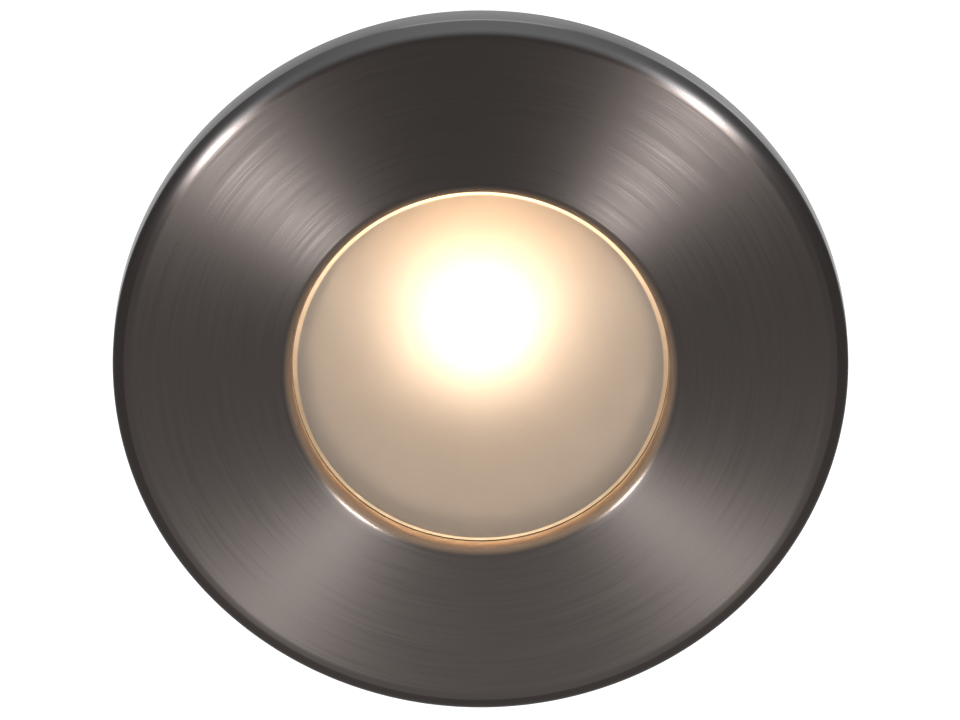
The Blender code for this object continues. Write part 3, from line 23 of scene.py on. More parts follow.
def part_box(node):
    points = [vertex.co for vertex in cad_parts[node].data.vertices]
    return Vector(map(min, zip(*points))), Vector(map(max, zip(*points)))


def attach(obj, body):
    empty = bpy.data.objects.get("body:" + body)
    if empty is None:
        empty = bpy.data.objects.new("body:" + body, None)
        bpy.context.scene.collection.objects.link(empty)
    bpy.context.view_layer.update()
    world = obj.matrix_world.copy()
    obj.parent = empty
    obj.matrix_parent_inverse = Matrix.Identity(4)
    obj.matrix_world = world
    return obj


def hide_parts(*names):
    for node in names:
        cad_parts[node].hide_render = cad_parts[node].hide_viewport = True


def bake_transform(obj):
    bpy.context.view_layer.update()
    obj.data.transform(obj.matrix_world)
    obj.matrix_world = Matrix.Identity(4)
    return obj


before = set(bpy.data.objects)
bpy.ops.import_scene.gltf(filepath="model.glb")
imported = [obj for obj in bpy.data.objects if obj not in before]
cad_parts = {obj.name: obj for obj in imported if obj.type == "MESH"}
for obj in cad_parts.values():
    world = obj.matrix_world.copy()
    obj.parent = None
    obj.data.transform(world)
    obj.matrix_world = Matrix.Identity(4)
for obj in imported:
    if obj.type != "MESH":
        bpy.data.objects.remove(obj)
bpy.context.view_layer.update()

LOG = logging.getLogger("step_light")

MM = 0.001
TURN = 2 * math.pi
QUARTER = math.pi / 2
HEX = 6
ROUND_STEPS = 240
SMALL_ROUND_STEPS = 96
ARC_STEPS = 6
WELD = 1e-7
SHARP_ANGLE = math.radians(32)
SEAT_GAP = 0.3 * MM
PIN_X = 33.2 * MM
PIN_Z = -20.0 * MM
WHITE = (1, 1, 1, 1)
UPRIGHT = np.array([(1.0, 0.0, 0.0), (0.0, 0.0, 1.0), (0.0, 1.0, 0.0)])
LYING = np.array([(1.0, 0.0, 0.0), (0.0, 0.0, 1.0), (0.0, -1.0, 0.0)])

Colour = tuple[float, float, float]


class Side(Enum):
    """The two clips, with the sign of their x."""

    RIGHT = 1
    LEFT = -1

    @property
    def axes(self) -> np.ndarray:
        """Axes that carry the right clip's place to this side."""
        return spun_axes(0 if self is Side.RIGHT else math.pi)

    @property
    def body(self) -> Body:
        """The clip's body."""
        return Body[f"{self.name}_CLIP"]


class Body(Enum):
    """The bodies that pieces ride on."""

    FIXTURE = "fixture"
    RIGHT_CLIP = "right_clip"
    LEFT_CLIP = "left_clip"


class Grain(Enum):
    """How the fine relief of a finish runs over its piece."""

    EVEN = "even"
    TURNED = "turned"
    DRAWN = "drawn"


# Plane outlines


def arc(
    centre: Sequence[float], radius: float, start: float, end: float, steps: int = ARC_STEPS
) -> np.ndarray:
    """Points of an arc in a plane, both ends included.

    Each point is the centre plus the radius times the cosine and sine of an angle that runs evenly
    from start to end.

    Args:
        centre: The arc's centre.
        radius: The arc's radius.
        start: The first angle, in radians.
        end: The last angle, in radians.
        steps: The number of chords.

    Returns:
        The points, one row each.
    """
    angles = np.linspace(start, end, steps + 1)
    return np.asarray(centre) + radius * np.stack([np.cos(angles), np.sin(angles)], axis=1)


def fillet(corners: Sequence[Sequence[float]], closed: bool = True, steps: int = ARC_STEPS) -> np.ndarray:
    """Rounds the corners of a plane outline.

    An arc touches both edges of a corner. Its centre lies on the corner's bisector, as far away as the
    radius over the sine of half the corner's angle, and its points swing from one touching point to
    the other, weighted by the sines of what is left and what is done of the turn.

    Args:
        corners: Points of two numbers, or three where the third is the corner's radius.
        closed: Whether the last corner joins the first.
        steps: The number of chords in each arc.

    Returns:
        The rounded outline's points, one row each.
    """
    spots = np.array([corner[:2] for corner in corners], float)
    rounded = []
    for i, corner in enumerate(corners):
        at_end = not closed and i in (0, len(corners) - 1)
        if len(corner) < 3 or at_end:
            rounded.append(spots[i : i + 1])
            continue
        before = spots[i - 1] - spots[i]
        after = spots[(i + 1) % len(spots)] - spots[i]
        before, after = before / np.linalg.norm(before), after / np.linalg.norm(after)
        half = math.acos(float(np.clip(before @ after, -1, 1))) / 2
        bisector = (before + after) / np.linalg.norm(before + after)
        centre = spots[i] + bisector * corner[2] / math.sin(half)
        reach = corner[2] / math.tan(half)
        first, last = spots[i] + before * reach - centre, spots[i] + after * reach - centre
        sweep = math.pi - 2 * half
        share = np.linspace(0, 1, steps + 1)[:, None]
        swing = (first * np.sin((1 - share) * sweep) + last * np.sin(share * sweep)) / math.sin(sweep)
        rounded.append(centre + swing)
    return np.concatenate(rounded)


def ring_section(inner: float, outer: float, back: float, front: float, edge: float) -> np.ndarray:
    """The closed section of a ring with rounded edges."""
    return fillet([(outer, front, edge), (outer, back, edge), (inner, back, edge), (inner, front, edge)])


def inset(outline: np.ndarray, distance: float) -> np.ndarray:
    """Moves a closed outline inwards by a distance.

    Each point moves against the sum of its two edges' outward normals, over one plus their dot
    product, so that both edges move by the distance.

    Args:
        outline: The outline's points, one row each.
        distance: How far each edge moves; negative moves outwards.

    Returns:
        The moved points.
    """
    ahead = np.roll(outline, -1, axis=0) - outline
    ahead = ahead / np.linalg.norm(ahead, axis=1, keepdims=True)
    area = np.sum(outline[:, 0] * np.roll(outline[:, 1], -1) - outline[:, 1] * np.roll(outline[:, 0], -1))
    normal = np.stack([ahead[:, 1], -ahead[:, 0]], axis=1) * np.sign(area)
    other = np.roll(normal, 1, axis=0)
    share = 1 + np.sum(normal * other, axis=1, keepdims=True)
    return outline - distance * (normal + other) / share


def hexagon(apothem: float, angles: np.ndarray) -> np.ndarray:
    """Radius of a hexagon at each angle: the apothem over the cosine of the angle to the nearest flat."""
    sixth = TURN / HEX
    return apothem / np.cos((angles + sixth / 2) % sixth - sixth / 2)


# Closed surfaces


@dataclass
class Shell:
    """A closed surface in the light's frame.

    Attributes:
        points: The points, one row each.
        quads: Four point numbers for each face of the grid.
        caps: Faces of more corners that close the ends.
        along: The distance along a wire at each point, for its finish.
    """

    points: np.ndarray
    quads: np.ndarray
    caps: list[np.ndarray] = field(default_factory=list)
    along: np.ndarray | None = None

    @classmethod
    def grid(cls, points: np.ndarray, wrap: bool, caps: bool = False) -> Shell:
        """Joins a grid of points whose columns close into loops.

        The face at row i and column j has the corners (i, j), (i, j + 1), (i + 1, j + 1) and
        (i + 1, j), with columns counted round, and rows too where they wrap.

        Args:
            points: The grid, rows by columns by three.
            wrap: Whether the last row joins the first.
            caps: Whether one face closes each end.

        Returns:
            The shell, facing outwards.
        """
        rows, columns = points.shape[:2]
        i, j = np.meshgrid(np.arange(rows if wrap else rows - 1), np.arange(columns), indexing="ij")
        ahead, beside = (i + 1) % rows, (j + 1) % columns
        corners = [i * columns + j, i * columns + beside, ahead * columns + beside, ahead * columns + j]
        quads = np.stack([corner.ravel() for corner in corners], axis=1)
        loop = np.arange(columns)
        ends = [loop[::-1], loop + (rows - 1) * columns] if caps else []
        return cls(points.reshape(-1, 3), quads, ends).facing_out()

    @classmethod
    def loft(cls, radii: Sequence, heights: Sequence, closed: bool = True, steps: int = ROUND_STEPS) -> Shell:
        """A surface of loops about z: point (i, j) lies at radius i, j, angle j and height i, j.

        Args:
            radii: One radius for each row, or one for each column of a row.
            heights: The rows' heights, likewise.
            closed: Whether the last row joins the first. If not, both lie on the axis.
            steps: The number of columns.

        Returns:
            The shell.
        """
        angles = np.arange(steps) * TURN / steps
        radius = np.stack([np.broadcast_to(row, steps) for row in radii])
        height = np.stack([np.broadcast_to(row, steps) for row in heights])
        points = np.stack([radius * np.cos(angles), radius * np.sin(angles), height], axis=2)
        return cls.grid(points, wrap=closed)

    @classmethod
    def turned(cls, section: np.ndarray, closed: bool = True, steps: int = ROUND_STEPS) -> Shell:
        """A section of (radius, height) points carried round z."""
        return cls.loft(section[:, 0], section[:, 1], closed, steps)

    @classmethod
    def plate(
        cls,
        outline: np.ndarray,
        half: float | Callable[[np.ndarray], np.ndarray],
        edge: float,
        hole: float = 0.0,
    ) -> Shell:
        """A plate about z = 0 with a round rim, and a round hole at its origin if asked.

        The rows run across the rim as an angle goes from one face to the other: each is the outline,
        inset by the edge times one minus the cosine, at a height of the half thickness less the edge,
        plus the edge times the sine. With a hole the rows go on round its wall, where each point lies
        in the direction of the outline's own point.

        Args:
            outline: The closed outline, one row each.
            half: Half the thickness, or a function that gives it at an outline's points.
            edge: The radius of the rounded rim.
            hole: The hole's radius, or zero.

        Returns:
            The shell.
        """
        angles = np.linspace(-QUARTER, QUARTER, 2 * ARC_STEPS)
        rows = []
        for angle in angles:
            loop = inset(outline, edge * (1 - math.cos(angle)))
            thick = half(loop) if callable(half) else half
            height = math.copysign(1, angle) * (thick - edge) + edge * math.sin(angle)
            rows.append(np.column_stack([loop, np.broadcast_to(height, len(loop))]))
        if hole:
            way = outline / np.linalg.norm(outline, axis=1, keepdims=True)
            for angle in angles[::-1]:
                loop = way * (hole + edge * (1 - math.cos(angle)))
                height = math.copysign(1, angle) * (half - edge) + edge * math.sin(angle)
                rows.append(np.column_stack([loop, np.broadcast_to(height, len(loop))]))
        return cls.grid(np.stack(rows), wrap=bool(hole), caps=not hole)

    @classmethod
    def tube(cls, path: np.ndarray, radius: float, reference: Sequence[float], sides: int = 14) -> Shell:
        """A wire: a circle carried along a path.

        The circle's two axes are the reference crossed with the path's direction, and the direction
        crossed with that. The wire's ends are eased by a smaller circle at each.

        Args:
            path: The centre line, one row each.
            radius: The wire's radius.
            reference: A direction that the path never runs along.
            sides: The number of points round the wire.

        Returns:
            The shell, with the distance along the wire at each point.
        """
        ease = radius / 4
        first, last = path[1] - path[0], path[-1] - path[-2]
        path = np.concatenate(
            [
                path[:1],
                path[:1] + first / np.linalg.norm(first) * ease,
                path[1:-1],
                path[-1:] - last / np.linalg.norm(last) * ease,
                path[-1:],
            ]
        )
        step = np.gradient(path, axis=0)
        step = step / np.linalg.norm(step, axis=1, keepdims=True)
        across = np.cross(np.asarray(reference, float), step)
        across = across / np.linalg.norm(across, axis=1, keepdims=True)
        up = np.cross(step, across)
        size = np.full(len(path), radius)
        size[[0, -1]] = radius - ease
        angle = np.arange(sides) * TURN / sides
        ring = across[:, None] * np.cos(angle)[:, None] + up[:, None] * np.sin(angle)[:, None]
        shell = cls.grid(path[:, None] + ring * size[:, None, None], wrap=False, caps=True)
        lengths = np.concatenate([[0], np.cumsum(np.linalg.norm(np.diff(path, axis=0), axis=1))])
        shell.along = np.repeat(lengths, sides)
        return shell

    def facing_out(self) -> Shell:
        """Turns every face over if the volume, summed over the faces' corners, comes out negative.

        Returns:
            The shell itself.
        """
        centre = self.points.mean(axis=0)
        total = 0.0
        for faces in [self.quads, *[cap[None] for cap in self.caps]]:
            spots = self.points[faces] - centre
            for k in range(1, faces.shape[1] - 1):
                total += np.sum(spots[:, 0] * np.cross(spots[:, k], spots[:, k + 1]))
        if total < 0:
            self.quads = self.quads[:, ::-1]
            self.caps = [cap[::-1] for cap in self.caps]
        return self

    def placed(self, offset: Sequence[float] = (0, 0, 0), axes: np.ndarray | None = None) -> Shell:
        """A copy whose own x, y and z become the rows of axes, moved by an offset."""
        points = self.points if axes is None else self.points @ axes
        return replace(self, points=points + np.asarray(offset, float))

    @staticmethod
    def joined(shells: Sequence[Shell]) -> Shell:
        """Several shells as one, with each one's point numbers moved past those before it.

        Args:
            shells: The shells. Either all have distances along them or the first has none.

        Returns:
            The one shell.
        """
        starts = np.cumsum([0] + [len(shell.points) for shell in shells])
        caps = [cap + start for shell, start in zip(shells, starts) for cap in shell.caps]
        along = None if shells[0].along is None else np.concatenate([shell.along for shell in shells])
        return Shell(
            np.concatenate([shell.points for shell in shells]),
            np.concatenate([shell.quads + start for shell, start in zip(shells, starts)]),
            caps,
            along,
        )

    def faces(self) -> tuple[np.ndarray, list[list[int]]]:
        """Welds points that coincide, such as those of a pole, and lists the faces left.

        Returns:
            The numbers of the kept points, and each face's corner numbers among them.
        """
        keys = np.round(self.points / WELD).astype(np.int64)
        _, kept, number = np.unique(keys, axis=0, return_index=True, return_inverse=True)
        number = number.reshape(-1)
        quads = number[self.quads]
        double = quads == np.roll(quads, -1, axis=1)
        slim = double.sum(axis=1) == 1
        whole = quads[~double.any(axis=1)].tolist()
        triangles = quads[slim][~double[slim]].reshape(-1, 3).tolist()
        return kept, whole + triangles + [number[cap].tolist() for cap in self.caps]

    def mesh(self, name: str) -> bpy.types.Mesh:
        """The shell as a mesh in the row frame.

        Args:
            name: The mesh's name.

        Returns:
            The mesh, with the distance along a wire as an attribute.
        """
        kept, faces = self.faces()
        points = self.points[kept]
        mesh = bpy.data.meshes.new(name)
        turned = np.stack([points[:, 0], -points[:, 2], points[:, 1]], axis=1)
        mesh.from_pydata(turned.tolist(), [], faces)
        if self.along is not None:
            attribute = mesh.attributes.new(Finish.ALONG, "FLOAT", "POINT")
            attribute.data.foreach_set("value", self.along[kept].astype(np.float32))
        return mesh


# Shader trees


class Socket:
    """An output socket that Python's operators extend with Math nodes."""

    def __init__(self, tree: ShaderTree, output: bpy.types.NodeSocket) -> None:
        """Keeps the socket and the tree that it belongs to."""
        self.tree = tree
        self.output = output

    def __add__(self, other: Socket | float) -> Socket:
        """The sum."""
        return self.tree.math("ADD", self, other)

    def __sub__(self, other: Socket | float) -> Socket:
        """The difference."""
        return self.tree.math("SUBTRACT", self, other)

    def __rsub__(self, other: Socket | float) -> Socket:
        """The difference, the other way round."""
        return self.tree.math("SUBTRACT", other, self)

    def __mul__(self, other: Socket | float) -> Socket:
        """The product."""
        return self.tree.math("MULTIPLY", self, other)

    def __truediv__(self, other: Socket | float) -> Socket:
        """The quotient."""
        return self.tree.math("DIVIDE", self, other)

    def __pow__(self, other: Socket | float) -> Socket:
        """The power."""
        return self.tree.math("POWER", self, other)

    __radd__ = __add__
    __rmul__ = __mul__


class ShaderTree:
    """One material's nodes, with its Principled shader."""

    def __init__(self, name: str) -> None:
        """Starts a material with only its Principled shader and output.

        Args:
            name: The material's name.
        """
        self.material = bpy.data.materials.new(name)
        self.material.use_nodes = True
        self.nodes = self.material.node_tree.nodes
        self.links = self.material.node_tree.links
        self.shader = self.nodes["Principled BSDF"]

    @staticmethod
    def find(sockets: bpy.types.bpy_prop_collection, key: str) -> bpy.types.NodeSocket:
        """The socket with this identifier, or else the first with this name."""
        named = [socket for socket in sockets if socket.identifier == key]
        return named[0] if named else sockets[key]

    def feed(self, node: bpy.types.Node, key: str, value: object) -> None:
        """Links a socket to a node's input, or sets its number, colour or vector.

        Args:
            node: The node.
            key: The input's identifier or name.
            value: The socket or the value.
        """
        target = self.find(node.inputs, key)
        if isinstance(value, Socket):
            self.links.new(value.output, target)
        else:
            target.default_value = value

    def node(self, kind: str, settings: dict[str, object], inputs: dict[str, object], out: str) -> Socket:
        """Adds any node.

        Args:
            kind: The node's type, without its common prefix.
            settings: Its properties, set before its sockets.
            inputs: The numbers or sockets of its inputs, by name or identifier.
            out: The output to return.

        Returns:
            The named output.
        """
        node = self.nodes.new("ShaderNode" + kind)
        for name, value in settings.items():
            setattr(node, name, value)
        for key, value in inputs.items():
            self.feed(node, key, value)
        return Socket(self, self.find(node.outputs, out))

    def math(self, operation: str, *values: Socket | float) -> Socket:
        """A Math node on up to three values."""
        inputs = {("Value", "Value_001", "Value_002")[i]: value for i, value in enumerate(values)}
        return self.node("Math", {"operation": operation}, inputs, "Value")

    def axes(self) -> tuple[Socket, Socket, Socket]:
        """Object coordinates.

        Returns:
            Their x, y and z.
        """
        spot = self.node("TexCoord", {}, {}, "Object")
        split = self.nodes.new("ShaderNodeSeparateXYZ")
        self.links.new(spot.output, split.inputs[0])
        return tuple(Socket(self, output) for output in split.outputs)

    def vector(self, x: Socket | float, y: Socket | float, z: Socket | float) -> Socket:
        """Three values as a vector."""
        return self.node("CombineXYZ", {}, {"X": x, "Y": y, "Z": z}, "Vector")

    def noise(self, where: Socket, scale: float, detail: float = 2.0, rough: float = 0.5) -> Socket:
        """Noise from 0 to 1 at a vector times a scale."""
        inputs = {"Vector": where, "Scale": scale, "Detail": detail, "Roughness": rough}
        return self.node("TexNoise", {}, inputs, "Fac")

    def rise(self, value: Socket, low: float, high: float) -> Socket:
        """A smooth step from 0 at low to 1 at high."""
        inputs = {"Value": value, "From Min": low, "From Max": high}
        return self.node("MapRange", {"interpolation_type": "SMOOTHSTEP"}, inputs, "Result")

    def mix(self, share: Socket | float, first: Socket | Colour, second: Socket | Colour) -> Socket:
        """One colour turning into another.

        Args:
            share: How far it has turned, from 0 to 1.
            first: The colour at 0.
            second: The colour at 1.

        Returns:
            The colour between.
        """
        colours = [value if isinstance(value, Socket) else (*value, 1) for value in (first, second)]
        inputs = {"Factor_Float": share, "A_Color": colours[0], "B_Color": colours[1]}
        return self.node("Mix", {"data_type": "RGBA"}, inputs, "Result_Color")

    def bump(self, height: Socket, depth: float) -> None:
        """Gives the shader a relief, over any that it has.

        Args:
            height: The height, from 0 to 1.
            depth: The length that a height of 1 stands for.
        """
        before = self.shader.inputs["Normal"].links
        inputs = {"Height": height, "Distance": depth}
        if before:
            inputs["Normal"] = Socket(self, before[0].from_socket)
        self.feed(self.shader, "Normal", self.node("Bump", {}, inputs, "Normal"))


# Finishes


@dataclass(frozen=True)
class Finish:
    """A surface finish with a fine grain, an uneven sheen and a faint stain.

    Attributes:
        name: The material's name.
        colour: The base colour, linear.
        roughness: The middle roughness.
        metallic: 1 for metal and 0 for anything else.
        grain: How the relief runs.
        grain_size: The width of a grain.
        grain_depth: The relief's depth.
        stain: The colour that patches turn towards.
        stain_share: How far they turn.
        stain_size: The width of a patch.
        sheen_spread: How much the roughness varies.
    """

    ALONG = "along"
    ALONG_SHARE = 0.08
    ARC_LENGTH = 2 * MM
    AXIS_GAP = 1 * MM
    PATCH_RISE = (0.35, 0.75)

    name: str
    colour: Colour
    roughness: float
    metallic: float = 0.0
    grain: Grain = Grain.EVEN
    grain_size: float = 0.25 * MM
    grain_depth: float = 0.01 * MM
    stain: Colour = (0.1, 0.1, 0.1)
    stain_share: float = 0.15
    stain_size: float = 4 * MM
    sheen_spread: float = 0.12

    def where(self, tree: ShaderTree) -> Socket:
        """The vector that the grain is read at: streaks are short across them and long along them.

        Args:
            tree: The material's nodes.

        Returns:
            The vector. A turned grain reads the radius less y, and the direction from the axis.
        """
        x, y, z = tree.axes()
        if self.grain is Grain.TURNED:
            radius = tree.math("SQRT", x * x + z * z) + self.AXIS_GAP
            return tree.vector(radius - y, x / radius * self.ARC_LENGTH, z / radius * self.ARC_LENGTH)
        if self.grain is Grain.DRAWN:
            along = tree.node("Attribute", {"attribute_name": self.ALONG}, {}, "Fac")
            return tree.vector(x, y, along * self.ALONG_SHARE)
        return tree.vector(x, y, z)

    def paint(self, tree: ShaderTree) -> None:
        """Feeds the shader's colour, roughness and relief.

        Args:
            tree: The material's nodes.
        """
        x, y, z = tree.axes()
        place = tree.vector(x, y, z)
        patches = tree.noise(place, 1 / self.stain_size, detail=5.0, rough=0.6)
        share = tree.rise(patches, *self.PATCH_RISE) * self.stain_share
        tree.feed(tree.shader, "Base Color", tree.mix(share, self.colour, self.stain))
        grain = tree.noise(self.where(tree), 1 / self.grain_size, detail=3.0, rough=0.6)
        sheen = self.roughness + (patches - 0.5) * self.sheen_spread + (grain - 0.5) * self.sheen_spread
        tree.feed(tree.shader, "Roughness", sheen)
        tree.bump(grain, self.grain_depth)

    @cache
    def material(self) -> bpy.types.Material:
        """The material, made at its first use.

        Returns:
            The one material of this finish.
        """
        tree = ShaderTree(self.name)
        tree.feed(tree.shader, "Metallic", self.metallic)
        self.paint(tree)
        return tree.material


@dataclass(frozen=True)
class TurnedNickel(Finish):
    """Dark nickel brushed in circles, whose fine scratches spread a lamp's light along the radius.

    The disc's own z is its axis, so that the shader's own tangent runs round it.

    Attributes:
        spread: How much further the scratches spread light across them than along them, up to 1.
        quarter: The turn of the spread from the tangent, in whole turns.
        streak: The width of the finer streaks that show.
        broad: How many times as wide the broader ones are.
        arc_share: How long a streak is, against the radius.
        blend: Half the width over which the brushing starts and ends.
        bore: The radius of the bore, on whose lip the lens's warm light is painted.
        face_start: The radius where the brushed face starts.
        face_end: The radius where it ends and the edge rolls over.
        painted_lip_light: The colour at the bore, painted light: the lens's warm light on the lip.
        painted_shade: The colour of painted shade, which the face turns towards from the bottom up and the
            edge's outer band turns towards but for its top.
        top_shade_share: How far the face turns towards the painted shade at its top.
        painted_edge_highlight: The colour of a painted highlight on the edge's top.
        highlight_band: How far beyond the face the painted highlight starts and is full.
        highlight_focus: The power that keeps the painted highlight to the top.
        rim_shade_band: How far beyond the face the painted shade on the edge starts, and is full, but for the
            edge's top.
        rim_shade_share: How dark that painted shade is.
        worn_roughness: The roughness of the roundings, which hands have polished.
        lip_roughness: How much rougher the lip is than that.
    """

    CENTRE_GAP = 0.01 * MM

    spread: float = 0.97
    quarter: float = 0.25
    streak: float = 0.11 * MM
    broad: float = 4.0
    arc_share: float = 0.5
    blend: float = 0.3 * MM
    bore: float = 22.75 * MM
    face_start: float = 24.05 * MM
    face_end: float = 42.3 * MM
    painted_lip_light: Colour = (0.25, 0.175, 0.12)
    painted_shade: Colour = (0.018, 0.015, 0.014)
    top_shade_share: float = 0.7
    painted_edge_highlight: Colour = (0.115, 0.115, 0.118)
    highlight_band: tuple[float, float] = (0.3 * MM, 1.2 * MM)
    highlight_focus: float = 9.0
    rim_shade_band: tuple[float, float] = (0.72 * MM, 0.96 * MM)
    rim_shade_share: float = 0.6
    worn_roughness: float = 0.18
    lip_roughness: float = 0.12

    def streaks(self, tree: ShaderTree) -> Socket:
        """Streaks from 0 to 1, read at radius plus height, and at the direction from the axis.

        Args:
            tree: The material's nodes.

        Returns:
            The mean of the finer and the broader streaks.
        """
        x, y, z = tree.axes()
        radius = self.radius(tree, x, y)
        across, right, up = radius + z, x / radius / self.arc_share, y / radius / self.arc_share
        fine = tree.vector(across / self.streak, right, up)
        broad = tree.vector(across / self.streak / self.broad, up, right)
        return (tree.noise(fine, 1.0, rough=0.6) + tree.noise(broad, 1.0, rough=0.6)) / 2

    @staticmethod
    def radius(tree: ShaderTree, x: Socket, y: Socket) -> Socket:
        """The distance from the axis, never quite 0."""
        return tree.math("SQRT", x * x + y * y) + TurnedNickel.CENTRE_GAP

    def paint(self, tree: ShaderTree) -> None:
        """Colours the lip, face and edge in turn, with painted light on the lip, painted shade on the face's
        top and the edge's outer band, and a painted highlight on the edge's top; roughens the face by its
        streaks.

        Args:
            tree: The material's nodes.
        """
        x, y, _ = tree.axes()
        radius, streaks = self.radius(tree, x, y), self.streaks(tree)
        # Painted light: the lens's warm light is painted onto the lip round the bore.
        lip = 1 - tree.rise(radius, self.bore + self.blend, self.face_start)
        # Rises from 0 at the bottom to 1 at the top: the painted highlight lies where it is high, the edge's
        # painted shade where it is low.
        high = (0.5 + y / radius * 0.5) ** self.highlight_focus
        # Painted shade: the face is painted darker towards the top.
        height = tree.rise(y, -self.face_end, self.face_end)
        # Bands beyond the face: one for the painted highlight on the edge, one for its painted shade.
        bands = self.highlight_band, self.rim_shade_band
        painted_edge_highlight, rim = (tree.rise(radius, *(self.face_end + reach for reach in band)) for band in bands)
        colour = tree.mix(streaks * self.stain_share, self.colour, self.stain)
        colour = tree.mix(lip, colour, self.painted_lip_light)
        colour = tree.mix(height * self.top_shade_share, colour, self.painted_shade)
        # Painted shade: a dark line round the edge's outer band, left off at its top.
        colour = tree.mix(rim * self.rim_shade_share * (1 - high), colour, self.painted_shade)
        tree.feed(tree.shader, "Base Color", tree.mix(painted_edge_highlight * high, colour, self.painted_edge_highlight))
        edges = self.face_start, self.face_end
        start, end = (tree.rise(radius, at - self.blend, at + self.blend) for at in edges)
        sheen = self.roughness - self.worn_roughness + (streaks - 0.5) * self.sheen_spread
        rough = self.worn_roughness + lip * self.lip_roughness + sheen * (start * (1 - end))
        tree.feed(tree.shader, "Roughness", rough)
        tree.feed(tree.shader, "Anisotropic", self.spread)
        tree.feed(tree.shader, "Anisotropic Rotation", self.quarter)


@dataclass(frozen=True)
class SandblastedGlass(Finish):
    """Frosted glass with a polished bevel, on which a warm line of light is painted as emission.

    Attributes:
        bevel_start: The radius where the bevel's painted light starts.
        bevel_back: The row frame's y where the painted light down its side ends.
        painted_glow: The colour of the painted light at the bevel's top and bottom.
        painted_side_glow: Its colour at the sides, painted dimmer, as the source lights them less.
        painted_glow_strength: Its strength.
        blast_share: How far the blasted grains turn towards the stain.
        clearness: The share of light that goes through.
        blend: Half the width over which the bevel starts and ends.
        painted_lens_shade: The colour of painted shade at the lens's top, which dims the light there.
        lens_shade_start: The height where the painted shade starts.
        lens_shade_end: The height where it is full.
    """

    bevel_start: float = 22.2 * MM
    bevel_back: float = 0.0
    painted_glow: Colour = (1.0, 0.72, 0.42)
    painted_side_glow: Colour = (0.2, 0.12, 0.05)
    painted_glow_strength: float = 0.9
    blast_share: float = 0.25
    clearness: float = 0.9
    blend: float = 0.05 * MM
    painted_lens_shade: Colour = (0.44, 0.34, 0.25)
    lens_shade_start: float = 8.0 * MM
    lens_shade_end: float = 22.0 * MM

    def paint(self, tree: ShaderTree) -> None:
        """Blasts the face with a fine grain, paints shade on the lens's top and paints light on the bevel.

        Args:
            tree: The material's nodes.
        """
        x, y, z = tree.axes()
        radius = tree.math("SQRT", x * x + z * z)
        bevel = tree.rise(radius, self.bevel_start - self.blend, self.bevel_start + self.blend)
        bevel = bevel * (1 - tree.rise(y, self.bevel_back - self.blend, self.bevel_back + self.blend))
        place = tree.vector(x, y, z)
        blast = tree.noise(place, 1 / self.grain_size, detail=4.0, rough=0.7)
        clouds = tree.noise(place, 1 / self.stain_size, detail=4.0)
        share = clouds * self.stain_share + blast * self.blast_share
        colour = tree.mix(share, self.colour, self.stain)
        # Painted shade: the lens's colour darkens towards its top.
        lens_shade = tree.rise(z, self.lens_shade_start, self.lens_shade_end)
        tree.feed(tree.shader, "Base Color", tree.mix(lens_shade, colour, self.painted_lens_shade))
        tree.feed(tree.shader, "Roughness", self.roughness + (blast - 0.5) * self.sheen_spread)
        tree.feed(tree.shader, "Transmission Weight", self.clearness)
        # Painted light: the bevel emits, brighter at its top and bottom than at its sides.
        upright = (z / (radius + self.blend)) ** 2.0
        painted_glow = tree.mix(upright, self.painted_side_glow, self.painted_glow)
        tree.feed(tree.shader, "Emission Color", tree.mix(bevel, (0, 0, 0), painted_glow))
        tree.feed(tree.shader, "Emission Strength", self.painted_glow_strength)
        tree.bump(blast * (1 - bevel), self.grain_depth)


@dataclass(frozen=True)
class Phosphor(Finish):
    """The emitter: a bright dome on a plain base.

    Attributes:
        dome_radius: The radius inside which it shines.
        blend: The share of the radius, to either side, over which the light ends.
        light: The light's colour.
        strength: The light's strength.
    """

    dome_radius: float = 3.2 * MM
    blend: float = 0.02
    light: Colour = (1.0, 0.81, 0.61)
    strength: float = 520.0

    def paint(self, tree: ShaderTree) -> None:
        """Lights the dome and leaves the base plain.

        Args:
            tree: The material's nodes.
        """
        x, _, z = tree.axes()
        radius = tree.math("SQRT", x * x + z * z)
        dome = 1 - tree.rise(radius, self.dome_radius * (1 - self.blend), self.dome_radius * (1 + self.blend))
        spots = tree.noise(tree.vector(x, 0.0, z), 1 / self.grain_size)
        tree.feed(tree.shader, "Base Color", tree.mix(dome, self.stain, self.colour))
        tree.feed(tree.shader, "Roughness", self.roughness + spots * self.sheen_spread)
        tree.feed(tree.shader, "Emission Color", tree.mix(dome, (0, 0, 0), self.light))
        tree.feed(tree.shader, "Emission Strength", self.strength)
        tree.bump(spots, self.grain_depth)


